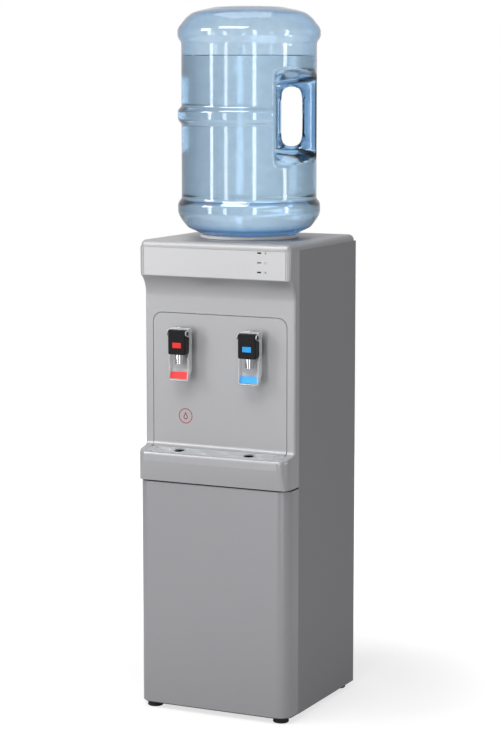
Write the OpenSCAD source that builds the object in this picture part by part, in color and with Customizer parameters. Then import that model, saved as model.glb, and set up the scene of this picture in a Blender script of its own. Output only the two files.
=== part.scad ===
// Hot and cold water dispenser: floor-standing cabinet, two push taps and a bottle on top.
// Millimetres, +Z up, front towards -Y, origin under the middle of the whole object.

/* [Cabinet] */
// Outer width
cab_w = 310; // [296:1:340]
// Depth from the door's face to the rear panel
cab_d = 310; // [300:1:340]
// Thickness of the steel panels
panel_t = 1; // [0.8:0.1:1.5]
// Height of the feet
foot_h = 10; // [6:1:16]
// Radius of a foot
foot_r = 15; // [12:1:18]
// Gap at the seams between mouldings and steel
seam_gap = 0.3; // [0.2:0.1:0.5]

/* [Door] */
// Height of the door
door_h = 425.5; // [410:0.5:432]
// Radius of the door's upright corners
door_r = 24; // [20:1:28]
// How far the door and the front wrap back along the sides
wrap = 50; // [47:1:56]
// Wall of the door's outer moulding
door_t = 2.5; // [2:0.1:3]
// Gap above and below the door
door_gap = 1; // [0.8:0.1:1.4]
// Radius of the hinge pins
hinge_pin_r = 3; // [2.5:0.1:3.5]
// Radial clearance of the hinge pins
hinge_clear = 0.08; // [0.05:0.01:0.1]

/* [Front moulding] */
// Height of the cabinet above the door
front_h = 452; // [446:1:500]
// Wall of the front moulding
shell_t = 2.5; // [2:0.1:3]
// Dark gap between the apron and the door
apron_gap = 3; // [2:0.5:4]
// Height of the apron under the lip
apron_h = 38; // [34:1:42]
// How far the ledge stands out in front of the door
ledge_out = 12; // [10:1:15]
// How far the apron slants back at its foot
apron_in = 9; // [7:1:11]
// Height of the upright lip
lip_h = 14; // [12:1:17]
// Radius of the ledge's upright corners
ledge_r = 28; // [24:1:30]
// Slope of the ledge
ledge_slope = 8.8; // [7:0.2:10]
// Set-back of the tap wall
wall_set = 33; // [31:1:35]
// Set-back of the header
header_set = 10; // [8:1:12]
// Height of the header, with the top cover's edge
header_h = 66; // [62:1:72]
// Height of the cove under the header
cove_h = 40; // [36:1:44]
// Radius of the header's upright corners
header_r = 8; // [6:1:10]
// Radius of the tap wall's upright edges
wall_r = 5; // [4:0.5:6]
// Radius where the tap wall meets the ledge
base_r = 8; // [6:1:9]

/* [Top cover] */
// Height of the top cover's edge
cover_h = 12; // [11.5:0.5:13]
// Radius over the top cover's edge
cover_edge_r = 10; // [8:0.5:11]
// Radius of the top cover's corners
cover_r = 13; // [12.5:0.5:16]
// Wall of the top cover
cover_t = 2.5; // [2:0.1:3]
// Outer radius of the collar
collar_r = 92; // [90:1:96]
// Rise of the collar above the cover
collar_h = 7; // [6:1:8]

/* [Tap panel] */
// Width of the tap panel and of the drip tray
bay_w = 275; // [266:1:280]
// Height of the tap panel
tap_panel_h = 252; // [246:1:258]
// Thickness of the tap panel
tap_panel_t = 2.5; // [2:0.1:3]
// Radius of the tap panel's top corners
tap_panel_r = 18; // [15:1:22]
// Groove round the tap panel
groove = 0.7; // [0.5:0.1:1]

/* [Taps] */
// Distance from the middle to a tap
tap_x = 72; // [68:1:78]
// Width of a tap's black block
block_w = 36; // [34:1:38]
// Height of a tap's black block
block_h = 45.5; // [44:0.5:48]
// Depth of a tap's black block
block_d = 14; // [12:1:15]
// Radius of the chrome spout
spout_r = 8.5; // [8:0.1:9]
// Bore of the spout
spout_bore_r = 5; // [4.5:0.1:5.5]
// Wall of the clear paddle
paddle_t = 2; // [1.8:0.1:2.4]
// Clearance between the paddle and the block
paddle_clear = 0.6; // [0.5:0.1:1]
// Radius of the paddle's pivot pin
pivot_r = 1.5; // [1.3:0.1:1.8]
// Radial clearance of the pivot pin
pivot_clear = 0.06; // [0.04:0.01:0.1]
// Radius of the threaded tap stem
stem_r = 8; // [7.5:0.1:8.5]
// Water bore of the tap stem
stem_bore_r = 3.5; // [3:0.1:4]

/* [Drip tray] */
// Depth of the grille from front to back
grille_d = 33; // [31:1:35]
// Thickness of the grille
grille_t = 2.2; // [2:0.1:2.6]
// Flat end of the tray beside the grille
tray_end = 6; // [5:0.5:8]
// Width of the tray's step that the grille rests on
grille_rest = 2; // [1.5:0.1:3]
// Wall of the tray
tray_t = 1.6; // [1.4:0.1:2]
// Depth of the tray
tray_h = 16; // [14:1:18]
// Radius of the two round drains
drain_r = 10; // [9:0.5:11]
// Width of a wavy slot
slot_w = 1.6; // [1.4:0.1:1.8]
// Clearance round the tray
tray_clear = 0.4; // [0.3:0.1:0.6]

/* [Bottle] */
// Radius of the bottle's plain bands
bottle_r = 127; // [124:1:129]
// How far the ribs stand out
rib_out = 7; // [5:1:8]
// Height from the collar's top to the bottle's base
bottle_h = 422.5; // [410:0.5:440]
// Wall of the bottle
bottle_t = 1.6; // [1.4:0.1:2]
// Radius of the bottle's neck
neck_r = 27.5; // [26.5:0.5:28.5]
// Half-width of the moulded handle
grip_half = 19; // [17:1:21]
// Angle of the handle from the right, towards the back
handle_turn = 26; // [20:1:32]
// Height of the finger hole
hole_h = 110; // [104:1:116]
// Clearance between bottle and seat
seat_clear = 0.3; // [0.3:0.1:0.6]

/* [Tanks and cooler] */
// Radius of the cold tank
cold_r = 78; // [75:1:80]
// Height of the cold tank
cold_h = 108; // [104:1:110]
// Wall of both tanks
tank_t = 1.2; // [1:0.1:1.5]
// Thickness of the foam round the cold tank
foam_t = 21; // [19:1:22]
// Radius of the hot tank
hot_r = 50; // [47:1:51]
// Height of the hot tank
hot_h = 160; // [152:1:164]
// Thickness of the hot tank's sleeve
sleeve_t = 11; // [9:1:11]
// Outer radius of the hoses
hose_r = 6; // [5.5:0.1:6.2]
// Bore of the hoses
hose_bore_r = 4.1; // [4:0.1:4.5]
// Bend radius of the hoses
hose_bend = 12; // [11:1:13]
// Side of the fan
fan_w = 80; // [76:1:84]
// Thickness of the fan
fan_t = 15; // [13:1:16]
// Number of fan blades
blades = 7; // [5:1:9]
// Number of heat sink fins
fins = 17; // [13:1:21]

/* [Hidden] */
$fn = 96;
eps = 0.01;
rear_out = 14;
depth = ledge_out + cab_d + rear_out;
half = cab_w / 2;
in_half = half - panel_t;
pan_t = 1.5;
door_z = foot_h + pan_t + door_gap;
door_top = door_z + door_h;
cab_top = door_top + front_h;
joint_z = cab_top - cover_h;
apron_z = door_top + apron_gap;
lip_z = apron_z + apron_h;
ledge_z = lip_z + lip_h + 3;
edge_r = 4;
ledge_front = -ledge_out + 3;
ledge_rise = (wall_set - ledge_front) * tan(ledge_slope);
ledge_back_z = ledge_z + ledge_rise;
header_z = cab_top - header_h;
cove_z = header_z - cove_h;
cove_s = wall_set - header_set;
cove_r = (cove_h * cove_h + cove_s * cove_s) / (2 * cove_s);
back_y = wrap - seam_gap;
axis_y = 160;

// Tap places
tap_z = door_top + 264.5;
block_z = tap_z - 22.75;
block_top = block_z + block_h;
spout_y = 11;
plate_y = spout_y + spout_r + 1;
cheek_in = block_w / 2 + paddle_clear;
cheek_out = cheek_in + paddle_t;
pivot_y = 3.5;
pivot_z = block_top - 5.5;
paddle_low = block_z - 50;
flap_z = block_z - 29;

// Top cover, seat and bottle places
seat_z = cab_top + collar_h;
bowl_r = 34;
bowl_z = cab_top - 96;
neck_z = bowl_z + 10;
neck_top = cab_top - 32;
base_z = seat_z + bottle_h;
grip_z = base_z - 203.5;

// Cooler and tank places
cold_z = bowl_z - 6 - cold_h;
foam_z = cold_z - 10;
foam_r = cold_r + 0.3 + foam_t;
cool_z = cold_z + 45;
block_y = axis_y + cold_r + 12;
module_t = 4;
sink_y = block_y + module_t;
sink_d = 30;
sink_w = 100;
fan_y = sink_y + sink_d + 0.3;
shelf_z = door_top + 6;
shelf_h = 12;
hot_z = shelf_z + 26;
hot_top = hot_z + hot_h;
nipple_r = hose_bore_r - 0.1;
hot_hose_z = hot_top - 14;
route_y = 78;

// Puts a piece drawn from the door's face into the object's own frame
module seat() translate([0, ledge_out - depth / 2, 0]) children();
// Extrudes a Y-Z outline along X, centred
module along_x(w) translate([-w / 2, 0, 0]) rotate([90, 0, 90]) linear_extrude(w) children();
// Extrudes an X-Z outline backwards from y
module along_y(y, d) translate([0, y + d, 0]) rotate([90, 0, 0]) linear_extrude(d) children();
// Cylinder along Y, starting at y
module rod_y(r, y, d) translate([0, y, 0]) rotate([-90, 0, 0]) cylinder(r = r, h = d);
// Rectangle with round corners, centred
module pad(w, h, r) {
  square([w, h - 2 * r], center = true);
  square([w - 2 * r, h], center = true);
  for (x = [-1, 1], y = [-1, 1]) translate([x * (w / 2 - r), y * (h / 2 - r)]) circle(r);
}
// Slot outline along its first axis, centred
module slot(l, w) {
  square([l - w, w], center = true);
  for (x = [-1, 1]) translate([x * (l - w) / 2, 0]) circle(w / 2);
}
// Plan outline with round front corners, set in by i
module plan(front, back, r, i = 0, h = half) {
  x = h - i;
  y = front + i;
  c = max(r - i, 0.5);
  translate([-x, y + c]) square([2 * x, back - y - c]);
  translate([c - x, y]) square([2 * (x - c), c + 0.2]);
  for (s = [-1, 1]) translate([s * (x - c), y + c]) circle(c);
}
// Slab between two heights with that plan
module block(z0, z1) translate([0, 0, z0]) linear_extrude(z1 - z0) children();
// Quarter-round edge profile: width r, height h, edge radius e
module edge_profile(r, h, e) {
  square([r - e, h]);
  square([r, h - e]);
  translate([r - e, h - e]) intersection() {
    circle(e);
    square(e);
  }
}
// Slab whose upright corners and upper edge are round, set in by i
module pillow(w, y0, y1, z0, h, r, e, i = 0) {
  x = w / 2 - r;
  c = r - i;
  k = max(e - i, 1);
  ya = y0 + r;
  yb = y1 - r;
  translate([0, 0, z0]) {
    for (s = [0:3]) translate([s == 0 || s == 3 ? x : -x, s < 2 ? yb : ya, 0])
      rotate(s * 90) rotate_extrude(angle = 90) edge_profile(c, h - i, k);
    for (s = [0, 1]) {
      translate([0, s ? yb : ya, 0]) mirror([0, 1 - s, 0]) along_x(2 * x) edge_profile(c, h - i, k);
      translate([s ? x : -x, yb, 0]) mirror([1 - s, 0, 0]) rotate([90, 0, 0])
        linear_extrude(yb - ya) edge_profile(c, h - i, k);
    }
    translate([-x, ya, 0]) cube([2 * x, yb - ya, h - i]);
  }
}
// Hose piece: quarter bend in the plane of two directions, starting at the origin
module hose_ring() difference() {
  circle(hose_r);
  circle(hose_bore_r);
}
module hose_run(l) linear_extrude(l) hose_ring();
// Bend that leaves the origin along +Z and turns towards +X
module hose_turn() translate([hose_bend, 0, 0]) rotate([90, 0, 180])
  rotate_extrude(angle = 90) translate([hose_bend, 0]) hose_ring();

// Steel cabinet

module side_sheet(s) color([0.45, 0.46, 0.47]) seat() difference() {
  side_folds(s);
  screw_spots() rod_y(2, cab_d - 10, 12);
}
module side_folds(s) {
  x = s * (half - panel_t / 2);
  translate([x - panel_t / 2, wrap, foot_h]) cube([panel_t, cab_d - panel_t - wrap, joint_z - foot_h]);
  // rear flange that the rear panel is screwed to
  translate([s > 0 ? half - 16 : panel_t - half, cab_d - 2 * panel_t, foot_h + 22])
    cube([16 - panel_t, panel_t, joint_z - foot_h - 22]);
  // upper flange that carries the top cover
  translate([s > 0 ? half - 12 : panel_t - half, wrap + 4, joint_z - panel_t])
    cube([12 - panel_t, cab_d - wrap - 8, panel_t]);
}
module side_panel_left() side_sheet(-1);
module side_panel_right() side_sheet(1);

module base_pan() color([0.3, 0.3, 0.31]) seat() difference() {
  union() {
    block(foot_h, foot_h + pan_t) plan(3, cab_d - panel_t - 0.2, door_r, 0, in_half - 0.2);
    for (s = [-1, 1]) translate([s * (in_half - 0.2 - pan_t / 2) - pan_t / 2, wrap + 6, foot_h])
      cube([pan_t, cab_d - wrap - 12, 20]);
    translate([0.2 - in_half, cab_d - panel_t - 0.2 - pan_t, foot_h]) cube([2 * in_half - 0.4, pan_t, 20]);
    // pressed beads that stiffen the floor
    for (y = [110, 170, 230]) translate([0, y, foot_h + pan_t]) linear_extrude(2) slot(180, 12);
  }
  for (y = [110, 170, 230]) translate([0, y, foot_h - eps]) linear_extrude(2) slot(177, 9);
  for (x = [-1, 1], y = [foot_r + 8, cab_d - foot_r - 8]) translate([x * (half - foot_r - 8), y, foot_h - eps])
    cylinder(r = 3, h = pan_t + 1);
  translate([hinge_x(), hinge_y, foot_h - eps]) cylinder(r = hinge_pin_r, h = pan_t + 1);
}
hinge_y = 25;
function hinge_x() = 14 - half;

module feet() color([0.06, 0.06, 0.06]) seat()
  for (x = [-1, 1], y = [foot_r + 8, cab_d - foot_r - 8]) translate([x * (half - foot_r - 8), y, 0]) difference() {
    union() {
      rotate_extrude() polygon([[0, 0], [foot_r - 1.5, 0], [foot_r, 1.5], [foot_r - 1, foot_h], [0, foot_h]]);
      cylinder(r = 2.95, h = foot_h + pan_t);
      translate([0, 0, foot_h + pan_t]) cylinder(r1 = 4.4, r2 = 3.6, h = door_gap - 0.3);
    }
    translate([0, 0, -eps]) cylinder(r = 4, h = 4);
  }

vent_z = cool_z;
switch_z = door_top + 190;
switch_x = half - 50;
drain_z = hot_z + 14;
gland_z = foot_h + 60;
gland_r = 7;
module rear_panel() color([0.42, 0.43, 0.44]) seat() difference() {
  union() {
    along_y(cab_d - panel_t, panel_t) translate([0, (foot_h + joint_z) / 2]) square([cab_w, joint_z - foot_h], center = true);
    // frame pressed outwards round the cooler's vent
    along_y(cab_d, 1.2) translate([0, vent_z]) difference() {
      pad(124, 124, 12);
      pad(120, 120, 10);
    }
  }
  for (k = [-7:7]) along_y(cab_d - 5, 10) translate([0, vent_z + k * 7.2]) slot(96, 3.4);
  for (k = [-4:4], s = [-1, 1]) along_y(cab_d - 5, 10) translate([s * 62, foot_h + 105 + k * 7.2]) slot(56, 3.4);
  for (k = [-3:3], s = [-1, 1]) along_y(cab_d - 5, 10) translate([s * 62, hot_z + hot_h / 2 + k * 7.2]) slot(46, 3.4);
  for (x = [-13, 13]) along_y(cab_d - 5, 10) translate([switch_x + x, switch_z]) square([14.4, 20.4], center = true);
  translate([0, 0, drain_z]) rod_y(8.3, cab_d - 5, 10);
  translate([switch_x, 0, gland_z]) rod_y(gland_r + 0.2, cab_d - 5, 10);
  screw_spots() rod_y(2, cab_d - 5, 10);
}
module screw_spots() for (x = [-1, 1], k = [0:3])
  translate([x * (half - 8), 0, foot_h + 50 + k * (joint_z - foot_h - 90) / 3]) children();
module panel_screws() color([0.7, 0.7, 0.7]) seat() screw_spots() difference() {
  union() {
    rod_y(1.95, cab_d - 2 * panel_t - 6, 2 * panel_t + 6);
    rod_y(3.8, cab_d, 1.2);
    rod_y(3, cab_d + 1.2, 0.8);
  }
  for (a = [0, 90]) rotate([0, a, 0]) translate([-2.2, cab_d + 0.9, -0.4]) cube([4.4, 2, 0.8]);
}

module lower_shelf() difference() {
  union() {
    translate([0.2 - in_half, wrap + 5, shelf_z]) cube([2 * in_half - 0.4, cab_d - wrap - 5 - 2 * panel_t - 0.3, panel_t]);
    for (s = [-1, 1]) translate([s * (in_half - 0.2 - panel_t / 2) - panel_t / 2, wrap + 5, shelf_z - shelf_h])
      cube([panel_t, cab_d - wrap - 5 - 2 * panel_t - 0.3, shelf_h]);
    translate([0.2 - in_half, wrap + 5, shelf_z - shelf_h]) cube([2 * in_half - 0.4, panel_t, shelf_h]);
  }
  for (x = [-1, 1]) translate([x * (half - 45), 230, shelf_z - eps]) cylinder(r = 8, h = 5);
}

module upper_shelf() difference() {
  union() {
    translate([0.2 - in_half, 96, foam_z - panel_t]) cube([2 * in_half - 0.4, 140, panel_t]);
    for (s = [-1, 1]) translate([s * (in_half - 0.2 - panel_t / 2) - panel_t / 2, 96, foam_z - shelf_h])
      cube([panel_t, 140, shelf_h]);
  }
  translate([0, axis_y, foam_z - 5]) cylinder(r = 14, h = 10);
}

module tank_shelves() color([0.5, 0.51, 0.52]) seat() {
  lower_shelf();
  upper_shelf();
}

// Top cover and bottle seat

module top_cover() color([0.72, 0.73, 0.74]) seat() difference() {
  union() {
    pillow(cab_w, header_set, cab_d, joint_z, cover_h, cover_r, cover_edge_r);
    // skirt that locates inside the panels
    block(joint_z - 6, joint_z + 1) difference() {
      plan(header_set + shell_t + 0.4, cab_d - 2 * panel_t - 0.4, header_r, 0, in_half - 12.4);
      plan(header_set + shell_t + 2.4, cab_d - 2 * panel_t - 2.4, header_r, 0, in_half - 14.4);
    }
  }
  pillow(cab_w, header_set, cab_d, joint_z - 10, cover_h + 10, cover_r, cover_edge_r, cover_t);
  translate([0, axis_y, joint_z - 10]) cylinder(r = collar_r - 4, h = 40);
}

// Shoulder of the standing bottle as [radius, height under its base]
shoulder = [[99.9, 417.5], [81.8, bottle_h + 4], [60, bottle_h + 16]];
// Height of the shoulder above the floor at radius r
function shoulder_z(r) = base_z - lookup(r, shoulder);
module bottle_seat() color([0.78, 0.79, 0.8]) seat() translate([0, axis_y, 0]) rotate_extrude() difference() {
  polygon([
    [0, bowl_z], [bowl_r, bowl_z], [bowl_r, cab_top - 33], [collar_r - 18, cab_top - 8],
    [collar_r - 4.4, cab_top - 6], [collar_r - 4.4, cab_top + 0.2], [collar_r, cab_top + 0.2],
    [collar_r, cab_top + collar_h - 2], [collar_r - 1.5, seat_z - 0.4], [0, seat_z - 0.4]
  ]);
  polygon([
    [0, bowl_z + 2], [bowl_r - 2, bowl_z + 2], [bowl_r - 2, neck_top + seat_clear + 1],
    [70, cab_top - 7.5], [78, shoulder_z(78) - seat_clear - 3], [81, shoulder_z(81) - seat_clear],
    [81.8, shoulder_z(81.8) - seat_clear], [collar_r + 2, shoulder_z(collar_r + 2) - seat_clear], [0, seat_z + 8]
  ]);
  square([7.2, 2000]);
}

module feed_probe() color([0.85, 0.87, 0.9]) seat() translate([0, axis_y, 0]) difference() {
  rotate_extrude() difference() {
    polygon([
      [0, cold_z + cold_h - 8], [7, cold_z + cold_h - 8], [7, bowl_z + 2.2], [12, bowl_z + 2.2], [12, bowl_z + 4],
      [8.5, bowl_z + 5], [8.5, neck_z + 22], [2, neck_z + 31], [0, neck_z + 31]
    ]);
    translate([0, cold_z]) square([4.5, neck_z + 24 - cold_z]);
  }
  for (a = [0, 90]) rotate(a) translate([-12, -2.5, neck_z + 12]) cube([24, 5, 10]);
}

// Front moulding

module ledge_profile(i) difference() {
  polygon([
    [ledge_front + i * 0.6, ledge_z - i], [wall_set + i, ledge_back_z - i * 1.1], [back_y + i, ledge_back_z - i * 1.1],
    [back_y + i, apron_z + i], [apron_in - ledge_out + i, apron_z + i],
    [i - ledge_out, lip_z + i * 0.1], [i - ledge_out, ledge_z - 3 - i * 0.4]
  ]);
  square(0.001);
}
module cove_profile(i) difference() {
  translate([header_set + i, cove_z - 1]) square([back_y - header_set, cove_h + 1 + i]);
  translate([wall_set - cove_r, cove_z]) circle(cove_r + i, $fn = 180);
  translate([header_set - 50, cove_z - 5]) square([50 + cove_s + i, 5]);
}
module front_body(i) {
  block(header_z + i, joint_z + (i > 0 ? 5 : 0)) plan(header_set, back_y + i, header_r, i);
  intersection() {
    along_x(cab_w + 10) cove_profile(i);
    block(cove_z - 5, header_z + 5) plan(header_set, back_y + i, header_r, i);
  }
  block(ledge_back_z - 12, cove_z + 0.01) plan(wall_set, back_y + i, wall_r, i);
  intersection() {
    along_x(cab_w + 10) ledge_profile(i);
    block(apron_z - 1, ledge_back_z + 5) plan(-ledge_out, back_y + i, ledge_r, i);
  }
}
// Concave radius between wall and ledge, in the Y-Z plane
module base_fillet(i = 0) difference() {
  translate([wall_set - base_r, ledge_back_z - base_r * tan(ledge_slope) - 1]) square([base_r + 1, base_r + 2]);
  translate([wall_set - base_r, ledge_back_z + base_r + 0.2 - base_r * tan(ledge_slope) / 2]) circle(base_r);
}
tray_front = wall_set - base_r + 2 - grille_d;
tray_back = wall_set - base_r + 2;
tray_mid = (tray_front + tray_back) / 2;
tray_mid_z = ledge_back_z - (wall_set - tray_mid) * tan(ledge_slope);
bay_r = 8;
grille_r = 14;
// Plan of the tray's bay, grown by g
module bay(g) translate([0, tray_mid]) pad(bay_w + 2 * g, grille_d + 2 * g, bay_r + g);
panel_z = ledge_back_z - 1;
// Outline of the tap panel in the X-Z plane, grown by g
module panel_outline(g) {
  w = bay_w / 2 + g;
  top = panel_z + tap_panel_h + g;
  c = tap_panel_r + g;
  translate([-w, panel_z - g]) square([2 * w, top - c - panel_z + g]);
  translate([c - w, panel_z]) square([2 * (w - c), top - panel_z]);
  for (s = [-1, 1]) translate([s * (w - c), top - c]) circle(c);
}

module front_fascia() color([0.66, 0.67, 0.68]) seat() difference() {
  union() {
    difference() {
      front_body(0);
      front_body(shell_t);
    }
    // fillet on the two side strips
    for (s = [-1, 1]) intersection() {
      translate([s * (half + bay_w / 2 + groove) / 2, 0, 0]) along_x((cab_w - bay_w) / 2 - groove) base_fillet();
      block(ledge_back_z - 20, ledge_back_z + 20) plan(wall_set - base_r - 5, back_y, base_r + 4);
    }
    // well that holds the drip tray
    intersection() {
      block(ledge_z - tray_h - 6, ledge_back_z) bay(2.5);
      union() {
        along_x(cab_w) ledge_profile(0.5);
        block(ledge_z - 40, ledge_z - 4) bay(2.5);
      }
    }
    // shelf behind the tap panel's edge
    along_y(wall_set + shell_t - 0.4, tap_panel_t - shell_t + 2.7) difference() {
      panel_outline(groove + 2);
      panel_outline(-5);
    }
  }
  block(ledge_z - tray_h - 3.4, ledge_back_z + 1) bay(tray_clear);
  along_y(wall_set - 5, 5 + tap_panel_t + 0.3) panel_outline(groove);
  // the window's foot is open down to the tray's bay
  along_y(tray_back - 1, wall_set - tray_back + 6) translate([0, panel_z + 2])
    square([bay_w + 2 * groove, 10], center = true);
  // recess and windows of the header
  along_y(header_set - 2, 3.5) header_outline(0.3);
  for (k = [-1:1]) along_y(header_set - 2, 10) translate([lamp_x, lamp_z + k * lamp_pitch]) square([lamp_w + 4, lamp_h + 4], center = true);
  translate([hinge_x(), hinge_y, apron_z - eps]) cylinder(r = hinge_pin_r, h = shell_t + 1);
}
lamp_x = half - 62.5;
lamp_z = cab_top - 34;
lamp_pitch = 17.6;
lamp_w = 7.7;
lamp_h = 2.7;
header_plate_w = 2 * (half - header_r - 2);
module header_outline(g) translate([0, (header_z + joint_z) / 2])
  pad(header_plate_w + 2 * g, joint_z - header_z - 2 + 2 * g, 1 + g);
module header_panel() color([0.82, 0.83, 0.84]) seat() difference() {
  along_y(header_set, 1.5) header_outline(0);
  for (k = [-1:1]) along_y(header_set - 1, 5) translate([lamp_x, lamp_z + k * lamp_pitch]) square([lamp_w, lamp_h], center = true);
}
module lamp(k, c) color(c) seat() {
  along_y(header_set + 0.2, 5) translate([lamp_x, lamp_z + k * lamp_pitch]) square([lamp_w - 0.2, lamp_h - 0.2], center = true);
  along_y(header_set + 1.6, 3.6) translate([lamp_x, lamp_z + k * lamp_pitch]) square([lamp_w + 2.5, lamp_h + 2.5], center = true);
}
module lamp_heating() lamp(1, [0.5, 0.1, 0.08]);
module lamp_power() lamp(0, [0.6, 0.55, 0.2]);
module lamp_cooling() lamp(-1, [0.1, 0.4, 0.35]);
module lamp_board() difference() {
  union() {
    along_y(header_set + 5.2, 1.6) translate([lamp_x, lamp_z]) square([26, 46], center = true);
    for (x = [-1, 1], z = [-1, 1]) translate([lamp_x + x * 10, 0, lamp_z + z * 19.5]) rod_y(2.2, header_set + shell_t, 2.8);
  }
  for (x = [-1, 1], z = [-1, 1]) translate([lamp_x + x * 10, 0, lamp_z + z * 19.5]) rod_y(1.1, header_set + shell_t - 1, 8);
}

module tap_panel() color([0.66, 0.67, 0.68]) seat() difference() {
  union() {
    along_y(wall_set, tap_panel_t) panel_outline(0);
    // foot that turns forward into the ledge
    along_x(bay_w) difference() {
      union() {
        base_fillet();
        polygon([
          [tray_back + tray_clear + 0.3, ledge_back_z - (wall_set - tray_back) * tan(ledge_slope)],
          [wall_set + 1, ledge_back_z], [wall_set + 1, ledge_back_z - 3],
          [tray_back + tray_clear + 0.3, ledge_back_z - 3 - (wall_set - tray_back) * tan(ledge_slope)]
        ]);
      }
      square([tray_back + tray_clear + 0.3, 2000]);
    }
  }
  for (s = [-1, 1]) translate([s * tap_x, 0, tap_z]) rod_y(stem_r + 0.3, wall_set - 1, 8);
}

// Drip tray and grille, which lie with the ledge's slope

grille_w = bay_w - 2 * tray_end;
basin_w = grille_w - 2 * grille_rest;
grille_low = grille_t + 0.2;
rest_low = grille_low + 0.2;
// Puts things on the sloped face of the ledge, with z = 0 on it
module on_ledge() translate([0, tray_mid, tray_mid_z]) rotate([ledge_slope, 0, 0]) children();
// All that lies deeper than t under the ledge's face
module deeper_than(t) on_ledge() translate([0, 0, -t - 4 * tray_h])
  linear_extrude(4 * tray_h) square([cab_w, 4 * grille_d], center = true);
module drip_tray() color([0.55, 0.56, 0.57]) seat() difference() {
  intersection() {
    block(ledge_z - tray_h - 3.2, ledge_back_z + 1) bay(0);
    deeper_than(0.2);
  }
  // seat of the grille
  on_ledge() translate([0, 0, -rest_low]) linear_extrude(rest_low + 1) {
    pad(grille_w + 2 * tray_clear, grille_d + 2 * tray_clear, grille_r + tray_clear);
    square([grille_w - grille_r, grille_d + 2], center = true);
  }
  block(ledge_z - tray_h - 3.2 + tray_t, ledge_back_z + 1) translate([0, tray_mid])
    pad(basin_w, grille_d - 2 * tray_t, bay_r - tray_t);
  // underside of the two flat ends
  difference() {
    deeper_than(rest_low + tray_t);
    along_x(basin_w + 2 * tray_t) translate([tray_mid, ledge_z]) square(8 * grille_d, center = true);
  }
}

slot_rows = [-10.5, -5.2, 0, 5.2, 10.5];
// One wavy slot: short straight cuts, each turned along the wave
module wavy_slot(x0, x1, y, n) for (k = [0:n - 1]) {
  xa = x0 + (x1 - x0) * k / n;
  xb = x0 + (x1 - x0) * (k + 1) / n;
  ya = y + wave(xa, y);
  yb = y + wave(xb, y);
  translate([(xa + xb) / 2, (ya + yb) / 2]) rotate(atan2(yb - ya, xb - xa))
    square([norm([xb - xa, yb - ya]) + 0.35, slot_w], center = true);
  if (k == 0) translate([xa, ya]) circle(slot_w / 2);
  if (k == n - 1) translate([xb, yb]) circle(slot_w / 2);
}
function wave(x, y) = 1.5 * sin(x * 6.2 + y * 9 + 17);
module drip_grille() color([0.6, 0.62, 0.64]) seat()
  on_ledge() translate([0, 0, -grille_low]) difference() {
    union() {
      linear_extrude(grille_t) pad(grille_w, grille_d - 0.4, grille_r);
      for (s = [-1, 1]) translate([s * tap_x, 0, 0]) cylinder(r = drain_r + 2.4, h = grille_t + 0.6);
    }
    for (s = [-1, 1]) translate([s * tap_x, 0, -1]) cylinder(r = drain_r, h = 9);
    translate([0, 0, -1]) linear_extrude(9) for (y = slot_rows, c = [-1, 0, 1]) {
      clear = abs(y) < drain_r + 4.4 ? sqrt(pow(drain_r + 5.4, 2) - pow(min(abs(y), drain_r + 5), 2)) + 1 : 3;
      a = c == 0 ? -tap_x + clear : tap_x + clear;
      b = c == 0 ? tap_x - clear : grille_w / 2 - 8;
      mirror([c < 0 ? 1 : 0, 0]) wavy_slot(a, b, y, c == 0 ? 20 : 8);
    }
  }

// Door

module door() color([0.55, 0.56, 0.57]) seat() difference() {
  union() {
    difference() {
      block(door_z, door_top) plan(0, wrap - 1, door_r);
      block(door_z + door_t, door_top - door_t) plan(0, wrap + 1, door_r, door_t);
    }
    // hinge bosses inside the left corner
    for (z = [door_z, door_top - 18]) translate([hinge_x(), hinge_y, z]) cylinder(r = 8, h = 18);
    // cross ribs behind the face
    for (k = [1:3]) block(door_z + k * door_h / 4, door_z + k * door_h / 4 + 2)
      translate([30 - half, 1]) square([cab_w - 60, door_rib_y - 1]);
  }
  translate([hinge_x(), hinge_y, door_z - 1]) cylinder(r = hinge_pin_r + hinge_clear, h = door_h + 2);
  // the floor and roof of the door are cut back behind the wrap
  block(door_z - 1, door_z + door_t + 1) translate([0, 60]) square([cab_w - 2 * door_t - 1, 60], center = true);
  block(door_top - door_t - 1, door_top + 1) translate([0, 60]) square([cab_w - 2 * door_t - 1, 60], center = true);
  for (s = [-1, 1], z = [-1, 1]) translate([s * door_screw_x, 10, door_z + door_h / 2 + z * door_screw_z]) rod_y(1.5, 0, 20);
}

door_rib_y = 13;
door_screw_x = half - 37;
door_screw_z = door_h / 2 - 42.75;
module door_inner_panel() color([0.86, 0.87, 0.88]) seat() difference() {
  translate([0, 0, door_z + door_t + 0.3]) linear_extrude(door_h - 2 * door_t - 0.6) difference() {
    translate([30 - half + 4, door_rib_y + 0.15]) square([cab_w - 50, 4]);
    translate([40 - half + 4, door_rib_y + 2.2]) square([cab_w - 70, 4]);
  }
  for (s = [-1, 1], z = [-1, 1]) translate([s * door_screw_x, 0, door_z + door_h / 2 + z * door_screw_z]) rod_y(1.9, 5, 20);
}
magnet_z = door_top - 40;
strike_y = door_rib_y + 4.3;
module door_strike() color([0.75, 0.75, 0.76]) seat() {
  translate([half - door_t - 14, strike_y, magnet_z - 12]) cube([12.7, 1.2, 24]);
  translate([half - door_t - 2.5, strike_y, magnet_z - 12]) cube([1.2, 26, 24]);
  for (z = [-7, 7]) translate([half - door_t - 2, strike_y + 18, magnet_z + z]) rotate([0, 90, 0]) cylinder(r = 2.5, h = 1.95);
}
module door_magnet() color([0.2, 0.2, 0.2]) seat() {
  translate([half - 30, strike_y + 1.7, magnet_z - 8]) cube([18, wrap + 5 - strike_y - 1.7, 16]);
  translate([half - 30, wrap + 4, magnet_z - 8]) cube([18, 1, shelf_z - magnet_z + 8]);
}
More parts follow.
